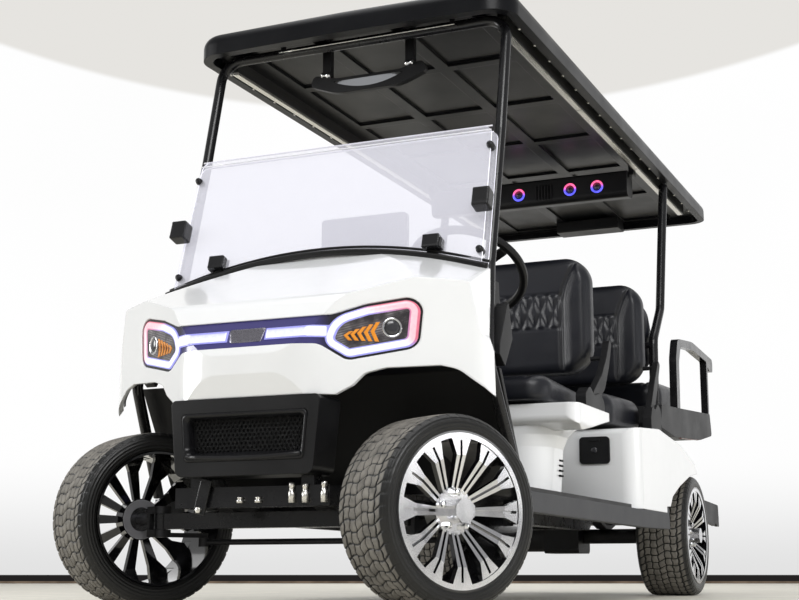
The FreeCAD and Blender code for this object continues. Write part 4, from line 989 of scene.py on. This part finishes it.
def under_nose():
    """Link from the bumper to the beam, and the fittings that stand before the cross member."""
    tilt = Matrix.Rotation(math.radians(14), 4, "Y")
    block("nose_link", at(-136, -1413, 284), (34, 8, 94), 3, "steel", tilt)
    turned("link_bolt", at(-146, -1417, 250), (0, -1, 0), [(9, 0), (9, 5), (7, 7), (2, 7)],
           "strip", 6)
    for k, (x, z, h) in enumerate(FITTINGS):
        profile = [(9, 0), (9, h * 0.55), (6.5, h * 0.6), (6.5, h * 0.8), (8, h * 0.84), (8, h),
                   (3, h + 2)]
        turned("beam_fitting_%d" % k, at(x, -1411, z), (0, 0, 1), profile, "strip", 18)


# Under the roof, in millimetres

SPEAKERS = (-148, -33, 190, 305)
SPEAKER_CONE = [(18, -1), (18, 0.5), (11, 1.0), (8, 5), (4, 6.5), (1, 6.6)]
MIRROR_KNOB = [(8, -14), (10, -12), (10, -2), (6, 0), (6, 8), (9, 9), (9, 14), (4, 15)]
CRESCENT_HALF, CRESCENT_STEPS = 120, 40
STRIP_SPANS = ((-735, 60), (66, 870), (876, 1690))
SCREW = [(4.5, -2), (4.5, 1), (3, 2.4), (1, 2.6)]


def speakers():
    """Lit rings, cones and ribs on the face of the sound bar."""
    ring = [(22.5 + 4.2 * c, 2.0 + 3.6 * s) for c, s in circle(10)]
    for k, x in enumerate(SPEAKERS):
        centre = at(x, 869.6, 1648)
        turned("speaker_ring_%d" % k, centre, (0, -1, 0), ring, "speaker", sides=40, ring=True)
        turned("speaker_cone_%d" % k, centre, (0, -1, 0), SPEAKER_CONE, "smoke")
    for k in range(6):
        block("bar_rib_%d" % k, at(44 + k * 13, 868.5, 1648), (5, 6, 62), 1.5, "trim")


def mirror_parts():
    """Knobs on the mirror's stems and the bright crescent of its glass."""
    for side, name in SIDES:
        turned("mirror_knob_" + name, at(146 * side, -714, 1664), (side, -0.3, 0), MIRROR_KNOB,
               "chrome", sides=18)
    vertices = []
    for i in range(CRESCENT_STEPS + 1):
        share = 2 * i / CRESCENT_STEPS - 1
        low = 1612 + 26 * share ** 2
        vertices += [at(CRESCENT_HALF * share, -712.5, low),
                     at(CRESCENT_HALF * share, -712.2, min(1640, low + 30))]
    faces = [(2 * i, 2 * i + 2, 2 * i + 3, 2 * i + 1) for i in range(CRESCENT_STEPS)]
    piece("mirror_crescent", vertices, faces, "mirror")


def roof_details():
    """Pale strips and screws along the roof's rails, and the bar under its front lip."""
    for side, name in SIDES:
        for k, (start, end) in enumerate(STRIP_SPANS):
            block("rail_strip_%s_%d" % (name, k), at(468 * side, (start + end) / 2, 1706.5),
                  (20, end - start, 4), 1.2, "strip")
        turned("rail_screws_" + name, at(506 * side, -700, 1722.5), (0, 0, -1), SCREW, "strip",
               10, copies=17, pitch=150)
    tube("front_lip_bar", [at(-262 + 61 * k, -820, 1716) for k in range(11)], 5.0, "recess")
    tube("front_lip_edge", [at(-258 + 60 * k, -825, 1719.5) for k in range(11)], 1.8, "strip")
    for k, x in enumerate((-246, 332)):
        block("front_lip_bracket_%d" % k, at(x, -818, 1730), (16, 9, 34), 2, "recess")


def side_details():
    """Vents in the pod, the charge port's latch and hinge, and the strips under the rear shell."""
    for side, name in SIDES:
        for k in range(4):
            block("pod_vent_%s_%d" % (name, k), at(473.5 * side, -262, 440 - k * 16), (8, 34, 6),
                  2.4, "liner")
    turned("port_latch", at(433, 271, 516), (0, -1, 0), [(11, -1), (11, 2), (8, 3.5), (3, 3.5)],
           "smoke")
    block("port_hinge", at(433, 270.5, 552), (40, 5, 9), 2, "liner")
    shell = surface("rear_seat_shell")
    for side, name in SIDES:
        below = [at(548 * side, 1130 + 50 * k, 300) for k in range(13)]
        edge = [shell.ray_cast(start, Vector((0, 0, 1)))[0] for start in below]
        tube("tail_strip_" + name, [spot for spot in edge if spot is not None], 4.0, "red_strip",
             sides=10, flat=0.7)


# Stage, lights and camera, in metres

CAMERA = Vector((1.795, -4.8284, 0.093))
CAMERA_YAW = math.radians(23.64)
CAMERA_PITCH = math.radians(10.98)
WALL_DISTANCE = 12.0
WALL_WHITE, WALL_TOP = (1.0, 1.0, 1.0), (0.79, 0.775, 0.745)
BORDER_HEIGHT, BORDER_BOW, BORDER_SOFT = 4.1, 0.05, 0.06
SKIRTING_TOP, SKIRTING_SEAM, SKIRTING_SOFT = 0.07, 0.018, 0.002
SKIRTING_BLACK, SKIRTING_BROWN = (0.018, 0.016, 0.016), (0.10, 0.075, 0.055)
WORLD_STRENGTH = 0.37

# Name, place, target, size, power, and whether it shows in glossy surfaces
LIGHTS = (
    ("key", (2.6, -5.2, 4.4), (0.1, -0.9, 0.7), (3.0, 2.4), 185, True),
    ("side", (5.2, -0.6, 1.5), (0.4, 0.1, 0.5), (4.6, 2.6), 135, False),
    ("streak", (6.0, 0.2, 1.1), (0.4, -1.4, 0.3), (3.4, 0.45), 16, True),
    ("rear", (-2.6, 5.6, 3.6), (0.0, 0.6, 0.7), (3.0, 2.0), 110, False),
    ("front_left", (-4.2, -3.2, 1.9), (-0.4, -1.3, 0.7), (2.6, 1.8), 125, True),
    ("top", (0.0, 0.0, 5.0), (0.0, 0.0, 1.0), (4.0, 6.0), 110, True),
)


def wall_material(name):
    """Studio wall with a dark skirting: seen at its own brightness, and clear from behind."""
    r = Recipe(name)
    z, x = r.axis("Z"), r.axis("X")
    shade = r.ramp(r.noise(0.35, 2.0), 0.3, 0.7)
    tone = r.mix(shade, WALL_WHITE, scaled(WALL_WHITE, 0.985))
    bow = r.times(r.math("POWER", x, 2.0), BORDER_BOW)
    above = r.math("SUBTRACT", z, r.math("ADD", bow, BORDER_HEIGHT))
    tone = r.mix(r.ramp(above, 0.0, BORDER_SOFT), tone, WALL_TOP)
    # Painted shade: the wall darkens towards the floor.
    tone = r.mix(r.ramp(z, 0.0, 1.1), scaled(WALL_WHITE, 0.76), tone)
    worn = r.mix(r.remap(r.noise(3.0, 4.0), 0.4, 0.6), SKIRTING_BROWN, scaled(SKIRTING_BROWN, 1.9))
    seam = r.remap(z, SKIRTING_SEAM - SKIRTING_SOFT, SKIRTING_SEAM + SKIRTING_SOFT)
    top = r.remap(z, SKIRTING_TOP - SKIRTING_SOFT, SKIRTING_TOP + SKIRTING_SOFT)
    tone = r.mix(top, r.mix(seam, worn, SKIRTING_BLACK), tone)
    lit = r.out("BsdfDiffuse", {"Color": tone})
    glow = r.out("Emission", {"Color": tone})
    path = r.node("LightPath").outputs
    seen = r.math("MAXIMUM", path["Is Camera Ray"],
                  r.math("MAXIMUM", path["Is Glossy Ray"], path["Is Transmission Ray"]))
    behind = r.out("NewGeometry", output="Backfacing")
    return r.finish(r.blend(behind, r.blend(seen, lit, glow), r.out("BsdfTransparent")))


def stage_mesh(name, points, material, matrix):
    """A flat four-cornered sheet of the studio."""
    mesh = bpy.data.meshes.new(name)
    mesh.from_pydata(points, [], [(0, 1, 2, 3)])
    mesh.materials.append(material)
    item = added(name, mesh)
    item.matrix_world = matrix


def stage():
    """Floor, and a wall square to the camera."""
    floor = plastic("studio_floor", (0.56, 0.54, 0.475), 0.5, 60.0, 0.0008, 0.3)
    stage_mesh("floor", [(-14, -14, 0), (14, -14, 0), (14, 14, 0), (-14, 14, 0)], floor,
               Matrix.Identity(4))
    turn = Matrix.Rotation(CAMERA_YAW, 4, "Z")
    foot = Vector((CAMERA.x, CAMERA.y, 0)) + turn @ Vector((0, WALL_DISTANCE, 0))
    stage_mesh("wall", [(-9, 0, 0), (9, 0, 0), (9, 0, 9), (-9, 0, 9)],
               wall_material("studio_wall"), Matrix.Translation(foot) @ turn)


def lights():
    """A pale world and the studio's area lights."""
    world = bpy.data.worlds.new("studio")
    scene.world = world
    world.use_nodes = True
    background = world.node_tree.nodes["Background"]
    background.inputs["Color"].default_value = (1.0, 1.0, 1.0, 1.0)
    background.inputs["Strength"].default_value = WORLD_STRENGTH
    for name, place, target, size, power, glossy in LIGHTS:
        data = bpy.data.lights.new(name, "AREA")
        data.shape = "RECTANGLE"
        data.size, data.size_y = size
        data.energy = power
        item = added(name, data)
        item.location = place
        aim = Vector(target) - Vector(place)
        item.rotation_euler = aim.to_track_quat("-Z", "Y").to_euler()
        item.visible_glossy = glossy


def camera():
    """The camera that was fitted to the photo."""
    data = bpy.data.cameras.new("camera")
    data.sensor_width = 36.0
    data.lens = 63.19
    data.sensor_fit = "HORIZONTAL"
    data.clip_end = 60.0
    item = added("camera", data)
    item.location = CAMERA
    item.rotation_euler = (math.pi / 2 + CAMERA_PITCH, 0.0, CAMERA_YAW)
    scene.camera = item
    scene.view_settings.view_transform = "Standard"


dress_frame()
wheels()
seats()
lamps()
screen_parts()
bumper_grille()
under_nose()
speakers()
mirror_parts()
roof_details()
side_details()
stage()
lights()
camera()
